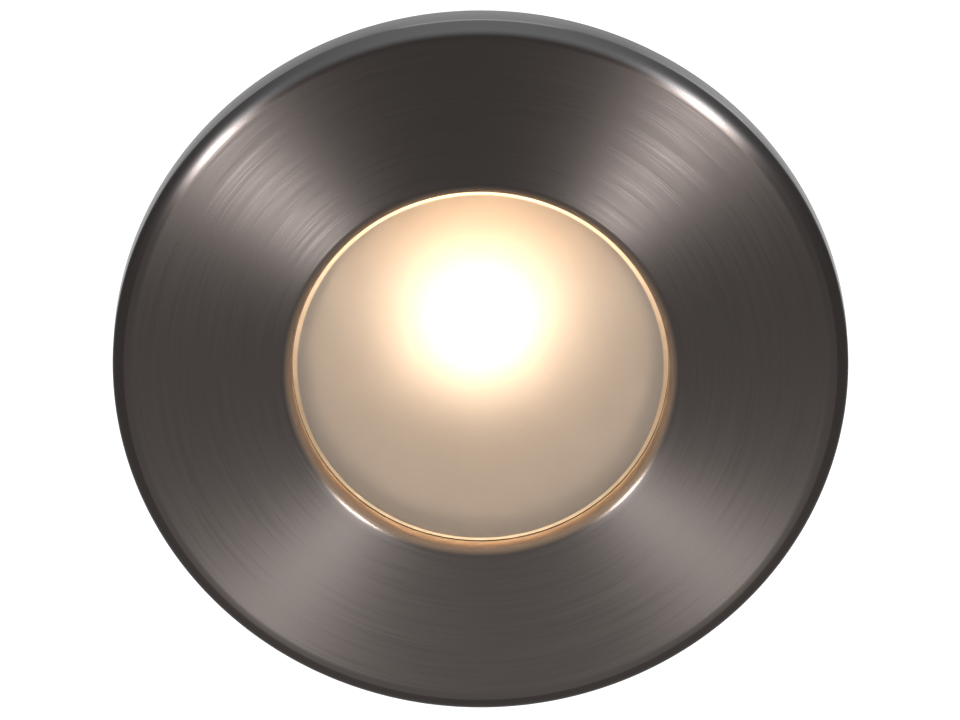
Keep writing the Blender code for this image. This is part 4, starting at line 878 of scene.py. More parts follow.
@dataclass(frozen=True)
class CircuitBoard(Finish):
    """Solder mask over copper tracks on a coarse square grid, some of them missing.

    Attributes:
        pitch: The tracks' pitch.
        track: The mask's colour over copper.
        track_depth: How far the tracks stand up.
        track_rise: Where a track's side starts and ends, as shares of the pitch.
        region: The width of the regions whose tracks run one way.
        region_rise: The noise at which one way starts to give way to the other, and has given way.
        patch: The width of the patches that have tracks.
        patch_rise: The noise at which a patch's tracks start, and are full.
    """

    pitch: float = 1.27 * MM
    track: Colour = (0.06, 0.30, 0.14)
    track_depth: float = 0.035 * MM
    track_rise: tuple[float, float] = (0.22, 0.28)
    region: float = 6 * MM
    region_rise: tuple[float, float] = (0.48, 0.52)
    patch: float = 4 * MM
    patch_rise: tuple[float, float] = (0.42, 0.5)

    def paint(self, tree: ShaderTree) -> None:
        """Draws tracks one way or the other, as a slow noise chooses.

        Args:
            tree: The material's nodes.
        """
        x, y, z = tree.axes()
        place = tree.vector(x, y, z)
        wander = tree.rise(tree.noise(place, 1 / self.region, detail=0.0), *self.region_rise)
        way = x * wander + z * (1 - wander)
        wave = tree.math("PINGPONG", way / self.pitch, 0.5)
        patches = tree.rise(tree.noise(place, 1 / self.patch), *self.patch_rise)
        tracks = tree.rise(wave, *self.track_rise) * patches
        fibre = tree.noise(place, 1 / self.grain_size, detail=3.0)
        tree.feed(tree.shader, "Base Color", tree.mix(tracks, self.colour, self.track))
        tree.feed(tree.shader, "Roughness", self.roughness + (fibre - 0.5) * self.sheen_spread)
        tree.bump(tracks, self.track_depth)
        tree.bump(fibre, self.grain_depth)


@dataclass(frozen=True)
class Wound(Finish):
    """Turns of wire or tape, side by side.

    Attributes:
        pitch: The width of a turn.
        ring: Whether the turns go round a ring that lies across the light's axis.
        ring_radius: The radius at which they have their pitch on such a ring.
        middle: The ring's middle, x and z in the row frame.
        groove: The wave's height below which painted shade darkens the grooves.
    """

    pitch: float = 0.5 * MM
    ring: bool = False
    ring_radius: float = 3 * MM
    middle: tuple[float, float] = (0.0, 0.0)
    groove: float = 0.45

    def paint(self, tree: ShaderTree) -> None:
        """Rounds each turn with a wave of half circles, and paints shade into the grooves.

        Args:
            tree: The material's nodes.
        """
        x, y, z = tree.axes()
        if self.ring:
            angle = tree.math("ARCTAN2", z - self.middle[1], x - self.middle[0])
            way = angle * self.ring_radius
        else:
            way = y
        wave = tree.math("ABSOLUTE", tree.math("SINE", way * (math.pi / self.pitch)))
        fine = tree.noise(tree.vector(x, y, z), 1 / self.grain_size, detail=3.0)
        # Painted shade: the grooves between turns turn towards the stain colour.
        shade = tree.rise(wave, 0.0, self.groove)
        tree.feed(tree.shader, "Base Color", tree.mix(shade, self.stain, self.colour))
        tree.feed(tree.shader, "Roughness", self.roughness + (fine - 0.5) * self.sheen_spread)
        tree.bump(wave, self.pitch / 4)
        tree.bump(fine, self.grain_depth)


NICKEL = TurnedNickel(
    "turned_nickel", (0.0545, 0.0465, 0.0433), 0.29, 1.0,
    stain=(0.1, 0.09, 0.084), stain_share=0.3, sheen_spread=0.21,
)
GLASS = SandblastedGlass(
    "sandblasted_glass", (0.71, 0.625, 0.55), 0.57, grain_size=0.14 * MM, grain_depth=0.02 * MM,
    stain=(0.5, 0.44, 0.375), stain_share=0.5, stain_size=7 * MM,
)
CAST = Finish("cast_aluminium", (0.16, 0.16, 0.165), 0.52, 1.0, grain_size=0.35 * MM, grain_depth=0.03 * MM)
SPUN = Finish("spun_aluminium", (0.08, 0.077, 0.073), 0.75, 1.0, grain=Grain.TURNED, grain_size=0.2 * MM)
ZINC = Finish(
    "zinc_plate", (0.55, 0.56, 0.56), 0.34, 1.0,
    grain_depth=0.004 * MM, stain=(0.5, 0.5, 0.38), stain_share=0.5,
)
SPRING = Finish("spring_steel", (0.42, 0.42, 0.43), 0.28, 1.0, grain=Grain.DRAWN, grain_size=0.12 * MM)
RUBBER = Finish("black_rubber", (0.022, 0.022, 0.023), 0.72, stain=(0.07, 0.068, 0.065), grain_size=0.18 * MM)
FOAM = Finish("gasket_foam", (0.03, 0.03, 0.03), 0.85, stain=(0.06, 0.06, 0.06), grain_depth=0.09 * MM)
NYLON = Finish("black_nylon", (0.028, 0.028, 0.03), 0.46, stain=(0.05, 0.05, 0.05), grain_depth=0.012 * MM)
PHOSPHOR = Phosphor("phosphor", (0.9, 0.7, 0.25), 0.4, stain=(0.8, 0.8, 0.78))
SILICONE_PAD = Finish("thermal_silicone", (0.42, 0.44, 0.48), 0.8)
WHITE_BOARD = CircuitBoard("white_mask", (0.82, 0.82, 0.8), 0.4, track=(0.7, 0.7, 0.66))
GREEN_BOARD = CircuitBoard("green_mask", (0.03, 0.19, 0.08), 0.35)
RED_WIRE = Finish("red_wire", (0.55, 0.03, 0.02), 0.45)
BLACK_WIRE = Finish("black_wire", (0.025, 0.025, 0.025), 0.45)
FIBRE = Finish("fish_paper", (0.6, 0.57, 0.47), 0.85, stain=(0.45, 0.4, 0.3), grain_depth=0.02 * MM)
FERRITE = Finish("ferrite", (0.06, 0.06, 0.065), 0.6, grain_size=0.4 * MM, grain_depth=0.02 * MM)
# In the wound finishes below, the stain colour is the painted shade of the grooves between turns.
TAPE = Wound("winding_tape", (0.8, 0.55, 0.08), 0.35, pitch=3 * MM, stain=(0.6, 0.38, 0.05))
SLEEVE = Finish("capacitor_sleeve", (0.03, 0.035, 0.05), 0.3)
COPPER = Wound("enamelled_copper", (0.72, 0.3, 0.12), 0.3, 1.0, ring=True, stain=(0.2, 0.07, 0.03))
FUSE_BODY = Finish("fuse_metal", (0.6, 0.56, 0.5), 0.3, 1.0)
BLUE = Finish("blue_epoxy", (0.04, 0.12, 0.4), 0.35)
EPOXY = Finish("black_epoxy", (0.03, 0.03, 0.032), 0.55, grain_depth=0.015 * MM)
GREEN_BLOCK = Finish("green_polyamide", (0.04, 0.28, 0.1), 0.45)
GREEN_PAINT = Finish("green_zinc", (0.08, 0.33, 0.13), 0.4, 1.0)


# Placing


@dataclass(frozen=True)
class Span:
    """Where a CAD node lies, in the light's frame."""

    low: np.ndarray
    high: np.ndarray

    @classmethod
    def of(cls, node: str) -> Span:
        """The box of a CAD node, with the row frame's y turned into minus z."""
        low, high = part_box(node)
        return cls(np.array((low.x, low.z, -high.y)), np.array((high.x, high.z, -low.y)))

    @property
    def middle(self) -> np.ndarray:
        """The box's middle."""
        return (self.low + self.high) / 2

    @property
    def front(self) -> float:
        """The highest z."""
        return float(self.high[2])

    @property
    def back(self) -> float:
        """The lowest z."""
        return float(self.low[2])

    @property
    def radius(self) -> float:
        """Half the width."""
        return float(self.high[0] - self.low[0]) / 2


def add_object(name: str, data: bpy.types.ID) -> bpy.types.Object:
    """Puts a mesh, lamp or camera into the scene.

    Args:
        name: The object's name.
        data: The mesh, lamp or camera.

    Returns:
        The new object.
    """
    thing = bpy.data.objects.new(name, data)
    bpy.context.scene.collection.objects.link(thing)
    return thing


def dress(
    name: str, mesh: bpy.types.Mesh, finish: Finish, nodes: Sequence[str]
) -> bpy.types.Object:
    """Makes a piece of a mesh, smooth but for its sharp edges, and lets it stand for CAD nodes.

    Args:
        name: The piece's name.
        mesh: Its mesh.
        finish: Its finish.
        nodes: The CAD nodes that it replaces.

    Returns:
        The new object, which rides on nothing yet.
    """
    mesh.shade_smooth()
    mesh.set_sharp_from_angle(angle=SHARP_ANGLE)
    mesh.materials.append(finish.material())
    piece = add_object(name, mesh)
    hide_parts(*nodes)
    LOG.info("%s: %d points", name, len(mesh.vertices))
    return piece


def add_piece(
    name: str, shells: Sequence[Shell], finish: Finish, nodes: Sequence[str]
) -> bpy.types.Object:
    """Makes one piece of several shells; the rest is as for dress."""
    return dress(name, Shell.joined(list(shells)).mesh(name), finish, nodes)


def ride(piece: bpy.types.Object, body: Body) -> bpy.types.Object:
    """Lets a piece move with a body."""
    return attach(piece, body.value)


def spun_axes(angle: float) -> np.ndarray:
    """Axes turned about z by an angle: the rows are where x, y and z go."""
    cosine, sine = math.cos(angle), math.sin(angle)
    return np.array([(cosine, sine, 0.0), (-sine, cosine, 0.0), (0.0, 0.0, 1.0)])


def stud(section: np.ndarray, spot: Sequence[float] = (0, 0)) -> Shell:
    """A small round solid at a place across the light; its section starts and ends on its axis."""
    shell = Shell.turned(section, closed=False, steps=SMALL_ROUND_STEPS // 2)
    return shell.placed((spot[0], spot[1], 0))


def cover_screw_studs(section: np.ndarray) -> list[Shell]:
    """One stud at each of the rear cover's screws."""
    return [stud(section, Span.of(f"cover_screw_{number}").middle) for number in (1, 2, 3)]


def thread(
    radius: float, depth: float, pitch: float, heights: np.ndarray, angles: np.ndarray
) -> list[tuple[np.ndarray, float]]:
    """Rows of a screw thread.

    At each angle the radius is less by the depth times a triangle wave of the height, in pitches,
    less the angle, in turns.

    Args:
        radius: The outer radius.
        depth: The thread's depth.
        pitch: Its pitch.
        heights: The rows' heights.
        angles: The columns' angles.

    Returns:
        (radii, height) rows.
    """
    waves = (np.abs(2 * ((z / pitch - angles / TURN) % 1) - 1) for z in heights)
    return [(radius - depth * wave, z) for wave, z in zip(waves, heights)]


# Sub-assemblies


@dataclass
class TrimDisc:
    """The brushed disc: a crowned face between an edge that rolls over and a rounded lip."""

    edge_height: float = 4.8 * MM
    crown: float = 1.0 * MM
    edge_fillet: float = 1.0 * MM
    roll_width: float = 2.2 * MM
    roll_share: float = 0.66
    lip_fillet: float = 1.3 * MM
    bore: float = 22.75 * MM
    bore_wall: float = 0.9 * MM
    reveal: float = 0.4 * MM
    rim_width: float = 1.2 * MM
    gasket_seat: float = 1.4 * MM
    hub: float = 36.8 * MM
    pocket: float = 24.85 * MM
    chamfer: float = 0.4 * MM
    face_steps: int = 24
    roll_steps: int = 24
    lip_steps: int = 10
    steps: int = 360

    def section(self, span: Span) -> np.ndarray:
        """The disc's section, down the outer side, in under the rim and back up the bore.

        The face falls from the lip by the crown times the share of the squared radius that it has
        come, as a shallow dome does. The edge rolls over along a cubic Bezier curve: its four points
        are weighted by the terms of (1 - t + t) cubed.

        Args:
            span: Where the CAD's disc lies.

        Returns:
            Its (radius, height) points.
        """
        inner, outer = self.bore + self.lip_fillet, span.radius - self.edge_fillet
        radius = np.linspace(inner, span.radius - self.roll_width, self.face_steps)
        share = (radius**2 - inner**2) / (outer**2 - inner**2)
        face = np.stack([radius, span.front - self.crown * share], axis=1)
        start = face[-1]
        along = (start - face[-2]) / np.linalg.norm(start - face[-2])
        corner = np.array((span.radius, self.edge_height - self.edge_fillet))
        reach = self.roll_width * self.roll_share
        ends = [start, start + along * reach, corner + (0, self.edge_fillet * self.roll_share), corner]
        t = np.linspace(0, 1, self.roll_steps)[:, None]
        weights = ((1 - t) ** 3, 3 * (1 - t) ** 2 * t, 3 * (1 - t) * t**2, t**3)
        edge = sum(weight * point for weight, point in zip(weights, ends))
        rim = span.radius - self.rim_width
        lip_back = span.front - self.lip_fillet - self.bore_wall
        small = self.chamfer / 2
        under = fillet(
            [
                (span.radius, self.edge_height / 2),
                (span.radius, self.reveal, self.chamfer),
                (rim, self.reveal, small),
                (rim, self.gasket_seat),
                (self.hub, self.gasket_seat),
                (self.hub, span.back, self.chamfer),
                (self.pocket, span.back, small),
                (self.pocket, lip_back),
                (self.bore, lip_back, small),
                (self.bore, span.front - self.lip_fillet - small),
            ],
            closed=False,
        )
        lip = arc((inner, span.front - self.lip_fillet), self.lip_fillet, math.pi, QUARTER, self.lip_steps)
        return np.concatenate([face[1:-1], edge[:-1], under, lip])

    def build(self) -> None:
        """Makes the disc.

        Its mesh is turned until its axis is its own z, and the object is turned back, because the
        shader's own tangent runs round an object's z and the circular brushing follows it.
        """
        span = Span.of("trim_ring")
        shell = Shell.turned(self.section(span), steps=self.steps)
        start, end = self.bore + self.lip_fillet, span.radius - self.roll_width
        nickel = replace(NICKEL, bore=self.bore, face_start=start, face_end=end)
        disc = add_piece("trim_disc", [shell], nickel, ["trim_ring"])
        disc.data.transform(Matrix.Rotation(-QUARTER, 4, "X"))
        disc.rotation_euler.x = QUARTER
        ride(disc, Body.FIXTURE)


@dataclass
class Optics:
    """The lens, its cup and the light source behind it."""

    boss: float = 22.72 * MM
    flange_thickness: float = 1.6 * MM
    bevel: float = 0.6 * MM
    lit_width: float = 0.52 * MM
    lit_depth: float = 3.0 * MM
    throat: float = 6.3 * MM
    mouth: float = 20.6 * MM
    wall: float = 0.8 * MM
    curve: float = 1.5
    cup_steps: int = 40
    dome: float = 3.2 * MM
    dome_height: float = 1.9 * MM
    dome_steps: int = 16

    def lens(self) -> Shell:
        """The lens.

        Returns:
            A boss with a bevel in front, and a flange behind the lip.
        """
        span = Span.of("lens")
        step = span.back + self.flange_thickness
        soft = self.bevel / 4
        section = fillet(
            [
                (0, span.front),
                (self.boss - self.bevel, span.front, soft),
                (self.boss, span.front - self.bevel, soft),
                (self.boss, step),
                (span.radius, step, soft),
                (span.radius, span.back + self.bevel, soft),
                (span.radius - self.bevel, span.back, soft),
                (0, span.back),
            ],
            closed=False,
        )
        return Shell.turned(section, closed=False)

    def cup(self) -> Shell:
        """The spun cup: its height rises as a power of the radius, from the throat to the mouth.

        Returns:
            The cup, with a wall of one thickness and a flat brim.
        """
        span = Span.of("reflector")
        share = np.linspace(0, 1, self.cup_steps)
        radius = self.throat + (self.mouth - self.throat) * share
        height = span.back + (span.front - span.back) * share**self.curve
        inside = np.stack([radius, height], axis=1)
        outside = (inside + (self.wall, 0))[::-1]
        outside = outside[outside[:, 1] < span.front - self.wall]
        corners = [(span.radius, span.front), (span.radius, span.front - self.wall)]
        corners.append((self.mouth + self.wall, span.front - self.wall))
        return Shell.turned(np.concatenate([corners, outside, inside]))

    def emitter(self) -> list[Shell]:
        """The light source.

        Returns:
            A square base with rounded edges, and a dome whose section is half an ellipse.
        """
        span = Span.of("led_emitter")
        base = span.front - self.dome_height
        side = span.radius
        soft = side / 8
        square = fillet([(side, side, soft), (-side, side, soft), (-side, -side, soft), (side, -side, soft)])
        half = (base - span.back) / 2
        plate = Shell.plate(square, half, half / 4).placed((0, 0, span.back + half))
        angles = np.linspace(0, QUARTER, self.dome_steps)
        radii = np.append(self.dome * np.sin(angles), [self.dome, 0])
        heights = np.append(base + self.dome_height * np.cos(angles), [base - half, base - half])
        return [plate, Shell.loft(radii, heights, closed=False, steps=SMALL_ROUND_STEPS)]

    def build(self) -> None:
        """Makes the three pieces."""
        front = -Span.of("lens").front
        # The bevel's painted light covers the lit width and depth.
        glass = replace(GLASS, bevel_start=self.boss - self.lit_width, bevel_back=front + self.lit_depth)
        phosphor = replace(PHOSPHOR, dome_radius=self.dome)
        for piece in (
            add_piece("frosted_lens", [self.lens()], glass, ["lens"]),
            add_piece("reflector_cup", [self.cup()], SPUN, ["reflector"]),
            add_piece("light_emitter", self.emitter(), phosphor, ["led_emitter"]),
        ):
            ride(piece, Body.FIXTURE)


@dataclass
class WallGasket:
    """The foam ring in the disc's back."""

    bore: float = 38.0 * MM
    edge: float = 0.3 * MM

    def build(self) -> None:
        """Makes the ring."""
        span = Span.of("wall_gasket")
        section = ring_section(self.bore, span.radius, span.back, span.front, self.edge)
        ring = add_piece("foam_gasket", [Shell.turned(section)], FOAM, ["wall_gasket"])
        ride(ring, Body.FIXTURE)


@dataclass
class Screw:
    """A pan head screw with a hex socket and a cut thread."""

    shaft: float = 1.45 * MM
    head: float = 2.6 * MM
    head_height: float = 1.8 * MM
    socket_share: float = 0.46
    depth_share: float = 0.6
    countersink: tuple[float, float] = (0.04, 0.05)
    flat_share: float = 0.6
    side_share: float = 0.35
    foot_share: float = 0.12
    crown_steps: int = 9
    pitch: float = 0.5 * MM
    thread_share: float = 0.5
    thread_rows: int = 5
    tip_share: float = 0.6
    steps: int = 48

    def shell(self, length: float) -> Shell:
        """One screw, its head above z = 0 and its shaft below.

        The rows run from the socket's floor, a hexagon, up and out over the pan head, whose side is a
        quarter of an ellipse, in under it and down the thread.

        Args:
            length: The shaft's length.

        Returns:
            The shell.
        """
        angles = np.arange(self.steps) * TURN / self.steps
        socket = hexagon(self.head * self.socket_share, angles)
        top = self.head_height
        floor, foot = top * (1 - self.depth_share), top * self.foot_share
        width, depth = (share * self.head for share in self.countersink)
        rim = socket.max() + width
        rows = [(0, floor - socket.min() / 3), (socket, floor), (socket, top - depth), (rim, top)]
        flat = max(rim, self.head * self.flat_share)
        for angle in np.linspace(0, QUARTER, self.crown_steps):
            height = self.side_share + (1 - self.side_share) * math.cos(angle)
            rows.append((flat + (self.head - flat) * math.sin(angle), top * height))
        rows += [(self.head, foot), (self.head - foot, 0), (self.shaft, 0)]
        heights = np.arange(-self.pitch, -length + self.shaft / 2, -self.pitch / self.thread_rows)
        rows += thread(self.shaft, self.pitch * self.thread_share, self.pitch, heights, angles)
        rows += [(self.shaft * self.tip_share, -length), (0, -length)]
        return Shell.loft([row[0] for row in rows], [row[1] for row in rows], False, self.steps)

    def build(self, nodes: Sequence[str], heads_back: bool, finish: Finish, slot: str) -> None:
        """Makes one screw for each CAD node, its head to the back or to the front.

        Args:
            nodes: The CAD nodes that the screws replace.
            heads_back: Whether the heads face the back.
            finish: Their finish.
            slot: The record's material slot; not used.
        """
        for node in nodes:
            span = Span.of(node)
            shell = self.shell(span.front - span.back - self.head_height)
            seat = span.back + self.head_height if heads_back else span.front - self.head_height
            axes = np.diag([1.0, -1.0, -1.0]) if heads_back else np.eye(3)
            placed = shell.placed((span.middle[0], span.middle[1], seat), axes)
            ride(add_piece(node + "_cut", [placed], finish, [node]), Body.FIXTURE)


@dataclass
class Housing:
    """The cast heat sink: core, fins, clip ears, screw lugs and posts."""

    flange: float = 35.2 * MM
    flange_thickness: float = 3.0 * MM
    optic: float = 22.0 * MM
    optic_depth: float = 17.8 * MM
    counterbore: float = 24.0 * MM
    counterbore_depth: float = 1.1 * MM
    barrel: float = 24.4 * MM
    platform: float = 4.0 * MM
    chamber: float = 21.0 * MM
    rebate: float = 22.6 * MM
    rebate_depth: float = 1.3 * MM
    soft: float = 0.5 * MM
    fin_count: int = 24
    fin_tip: float = 29.5 * MM
    fin_length: float = 23.2 * MM
    fin_root_width: float = 1.9 * MM
    fin_tip_width: float = 1.2 * MM
    fin_corner: float = 1.4 * MM
    fin_corner_steps: int = 8
    sink: float = 1.0 * MM
    ear_face: float = 30.1 * MM
    ear_half: float = 8.6 * MM
    lug_inner: float = 6.2 * MM
    lug_thickness: float = 2.0 * MM
    lug_radius: float = 2.6 * MM
    lug_lean: float = math.radians(60)
    lug_steps: int = 16
    gusset: float = 7.5 * MM
    pin_hole: float = 1.45 * MM
    screw_lug: float = 3.2 * MM
    screw_lug_length: float = 9.0 * MM
    screw_lug_taper: float = 1.2
    post: float = 2.4 * MM
    post_height: float = 2.6 * MM
    post_circle: float = 15.5 * MM

    def core(self, span: Span) -> Shell:
        """The turned core.

        Args:
            span: Where the CAD's housing lies.

        Returns:
            The core, open to the front for the optic and to the back for the driver.
        """
        platform_front = span.front - self.optic_depth
        platform_back = platform_front - self.platform
        shelf = span.front - self.counterbore_depth
        flange_back = span.front - self.flange_thickness
        section = fillet(
            [
                (0, platform_front),
                (self.optic, platform_front, self.soft),
                (self.optic, shelf),
                (self.counterbore, shelf),
                (self.counterbore, span.front, self.soft / 3),
                (self.flange, span.front, self.soft),
                (self.flange, flange_back, self.soft),
                (self.barrel, flange_back, self.soft),
                (self.barrel, span.back, self.soft),
                (self.rebate, span.back, self.soft / 3),
                (self.rebate, span.back + self.rebate_depth),
                (self.chamber, span.back + self.rebate_depth, self.soft / 3),
                (self.chamber, platform_back, self.soft),
                (0, platform_back),
            ],
            closed=False,
        )
        return Shell.turned(section, closed=False)

    def fins(self, flange_back: float) -> list[Shell]:
        """The fins: plates that narrow from root to tip, with full round rims and eased corners.

        Half a fin's thickness falls evenly with the radius. Fins that would meet the clip ears are
        left out.

        Args:
            flange_back: The height of the flange's back.

        Returns:
            The fins that are left.
        """
        root, back = self.barrel - self.sink, flange_back - self.fin_length
        outline = fillet(
            [
                (root, flange_back + self.sink),
                (self.fin_tip, flange_back + self.sink),
                (self.fin_tip, back, self.fin_corner),
                (root, back),
            ],
            steps=self.fin_corner_steps,
        )
        narrow = (self.fin_root_width - self.fin_tip_width) / 2 / (self.fin_tip - root)

        def half(loop: np.ndarray) -> np.ndarray:
            """Half the thickness at an outline's points."""
            return self.fin_tip_width / 2 + narrow * (self.fin_tip - loop[:, 0])

        fin = Shell.plate(outline, half, self.fin_tip_width / 2)
        stand = fin.placed(axes=UPRIGHT).facing_out()
        angles = np.arange(self.fin_count) * TURN / self.fin_count
        clear = np.abs(np.sin(angles)) * self.barrel > self.ear_half + self.fin_root_width
        return [stand.placed(axes=spun_axes(angle)) for angle in angles[clear]]

    def ear(self, side: Side, flange_back: float) -> list[Shell]:
        """One clip ear.

        Args:
            side: Its side.
            flange_back: The height of the flange's back.

        Returns:
            A pad on the barrel, and two lugs with the pin's hole.
        """
        inner = (self.optic + self.barrel) / 2
        half_height = (self.fin_length + self.sink) / 2
        pad = fillet(
            [
                (self.ear_face, -self.ear_half, self.soft),
                (self.ear_face, self.ear_half, self.soft),
                (inner, self.ear_half),
                (inner, -self.ear_half),
            ]
        )
        middle = flange_back + self.sink - half_height
        shells = [Shell.plate(pad, half_height, self.soft / 2).placed((0, 0, middle))]
        root = self.ear_face - PIN_X - self.sink
        nose = arc((0, 0), self.lug_radius, -self.lug_lean, self.lug_lean, self.lug_steps)
        outline = np.concatenate([nose, [(root, self.gusset), (root, -self.gusset)]])
        lug = Shell.plate(outline, self.lug_thickness / 2, self.soft / 2, hole=self.pin_hole)
        reach = self.lug_inner + self.lug_thickness / 2
        shells += [lug.placed((PIN_X, offset, PIN_Z), LYING) for offset in (reach, -reach)]
        return [shell.placed(axes=side.axes) for shell in shells]

    def screw_lugs(self, span: Span) -> list[Shell]:
        """The cover's screw lugs on the barrel.

        Args:
            span: Where the CAD's housing lies.

        Returns:
            The lugs, each with a nose that tapers into the wall.
        """
        foot, top = span.back + self.soft / 2, span.back + self.screw_lug_length
        nose = self.screw_lug / 3
        section = fillet(
            [
                (0, top),
                (nose, top, self.soft),
                (self.screw_lug, top - self.screw_lug_taper * self.screw_lug, self.soft * 2),
                (self.screw_lug, foot, self.soft / 2),
                (0, foot),
            ],
            closed=False,
        )
        return cover_screw_studs(section)

    def posts(self, span: Span) -> list[Shell]:
        """The driver board's posts.

        Args:
            span: Where the CAD's housing lies.

        Returns:
            The two posts behind the platform.
        """
        back = span.front - self.optic_depth - self.platform
        top, low = back + self.sink, back - self.post_height
        outline = [(0, top), (self.post, top), (self.post, low, self.soft / 2), (0, low)]
        section = fillet(outline, closed=False)
        return [stud(section, (side.value * self.post_circle, 0)) for side in Side]

    def build(self) -> None:
        """Makes the housing as one piece."""
        span = Span.of("housing")
        flange_back = span.front - self.flange_thickness
        shells = [self.core(span), *self.fins(flange_back), *self.screw_lugs(span), *self.posts(span)]
        for side in Side:
            shells += self.ear(side, flange_back)
        ride(add_piece("cast_housing", shells, CAST, ["housing"]), Body.FIXTURE)


@dataclass
class SpringClip:
    """A spring clip: leaf, pad, pin and torsion spring, in a frame at the pin.

    In that frame x points out, y along the pin and z to the front. The left clip is the right one
    turned half round the light's axis.
    """

    UPWARD = (0.0, 1.0, 0.0)

    side: Side
    pin: float = 1.25 * MM
    pin_play: float = 0.2 * MM
    pin_head: float = 1.9 * MM
    pin_head_thickness: float = 0.8 * MM
    pin_reach: float = 8.5 * MM
    cheek: float = 5.9 * MM
    cheek_radius: float = 2.6 * MM
    cheek_length: float = 8.5 * MM
    cheek_corner: float = 0.26 * MM
    cheek_steps: int = 24
    thickness: float = 0.8 * MM
    lean: float = math.radians(20)
    tip_half: float = 5.0 * MM
    pad_thickness: float = 3.2 * MM
    pad_length: float = 7.0 * MM
    pad_side: float = 0.9 * MM
    pad_steps: int = 20
    wire: float = 0.9 * MM
    coil: float = 2.35 * MM
    turns: int = 4
    pitch: float = 1.4 * MM
    fixed_leg: float = 7.0 * MM
    moving_leg: float = 9.0 * MM
    bend: float = 1.0 * MM
    bend_steps: int = 8
    leg_steps: int = 12
    turn_steps: int = 40

    @property
    def along(self) -> np.ndarray:
        """The leaf's direction, from the pin to the tip."""
        return np.array((math.sin(self.lean), 0.0, math.cos(self.lean)))

    @property
    def outward(self) -> np.ndarray:
        """The direction out of the leaf's outer face."""
        return np.array((math.cos(self.lean), 0.0, -math.sin(self.lean)))

    @property
    def flank(self) -> np.ndarray:
        """Axes of a plate that lies across the pin: along the leaf, outwards, and along the pin."""
        return np.stack([self.along, self.outward, self.UPWARD])

    @property
    def rise(self) -> float:
        """How far the strap's middle lies outwards of the pin's axis, to seat under the spring's leg."""
        return self.coil - self.wire / 2 - SEAT_GAP - self.thickness / 2

    @property
    def start(self) -> float:
        """Where the strap starts along the leaf, clear of the coil."""
        return self.coil + self.wire / 2 + SEAT_GAP

    @property
    def end(self) -> float:
        """Where the pad's round end is centred along the leaf, so that it just clears the wall."""
        reach = -PIN_Z - SEAT_GAP - self.pad_thickness / 2 - self.rise * self.outward[2]
        return reach / self.along[2]

    def seated(self, shells: Sequence[Shell]) -> list[Shell]:
        """Shells moved from the frame at the pin to the light's frame."""
        return [shell.placed((PIN_X, 0, PIN_Z)).placed(axes=self.side.axes) for shell in shells]

    def leaf(self) -> list[Shell]:
        """The stamped leaf.

        Returns:
            A tapering strap between two cheeks that hang on the pin.
        """
        half, soft = self.cheek, self.thickness / 4
        tip = self.end - self.thickness / 2
        waist = self.cheek_length
        strap = fillet(
            [
                (self.start, -half, soft),
                (waist, -half, 4 * self.thickness),
                (tip, -self.tip_half, 2 * self.thickness),
                (tip, self.tip_half, 2 * self.thickness),
                (waist, half, 4 * self.thickness),
                (self.start, half, soft),
            ]
        )
        flat = np.stack([self.along, self.UPWARD, self.outward])
        shells = [Shell.plate(strap, self.thickness / 2, soft).placed(self.outward * self.rise, flat)]
        nose = arc((0, 0), self.cheek_radius, QUARTER, 3 * QUARTER, self.cheek_steps)
        shoulder = self.rise + self.thickness / 3
        web = fillet(
            [
                (0, -self.cheek_radius),
                (self.start, -self.cheek_radius, 2 * soft),
                (waist, self.rise - self.thickness, self.cheek_corner),
                (waist, shoulder, self.cheek_corner),
                (0, shoulder),
            ],
            closed=False,
        )
        outline = np.concatenate([nose, web[1:-1]])
        plate = Shell.plate(outline, self.thickness / 2, soft, hole=self.pin + self.pin_play)
        reach = self.cheek - self.thickness / 2
        return shells + [plate.placed((0, end, 0), self.flank).facing_out() for end in (reach, -reach)]

    def pad(self) -> list[Shell]:
        """The soft sleeve on the leaf's tip.

        Returns:
            The sleeve, with a slot for the strap.
        """
        half, slot = self.pad_thickness / 2, self.thickness / 2 + SEAT_GAP
        root, soft = self.end - self.pad_length, self.thickness / 4
        nose = arc((self.end, 0), half, -QUARTER, QUARTER, self.pad_steps)
        tail = fillet(
            [
                (self.end, half),
                (root, half, 2 * soft),
                (root, slot, soft),
                (self.end, slot, soft),
                (self.end, -slot, soft),
                (root, -slot, soft),
                (root, -half, 2 * soft),
                (self.end, -half),
            ],
            closed=False,
        )
        outline = np.concatenate([nose, tail[1:-1]])
        plate = Shell.plate(outline, self.tip_half + self.pad_side, soft)
        return [plate.placed(self.outward * self.rise, self.flank).facing_out()]

    def pivot(self) -> Shell:
        """The pin.

        Returns:
            The pin, with a domed head outside each lug.
        """
        end = self.pin_reach + self.pin_head_thickness
        soft = self.pin_head_thickness / 2
        section = fillet(
            [
                (0, end),
                (self.pin_head, end, soft),
                (self.pin_head, self.pin_reach),
                (self.pin, self.pin_reach),
                (self.pin, -self.pin_reach),
                (self.pin_head, -self.pin_reach),
                (self.pin_head, -end, soft),
                (0, -end),
            ],
            closed=False,
        )
        return stud(section).placed(axes=LYING)

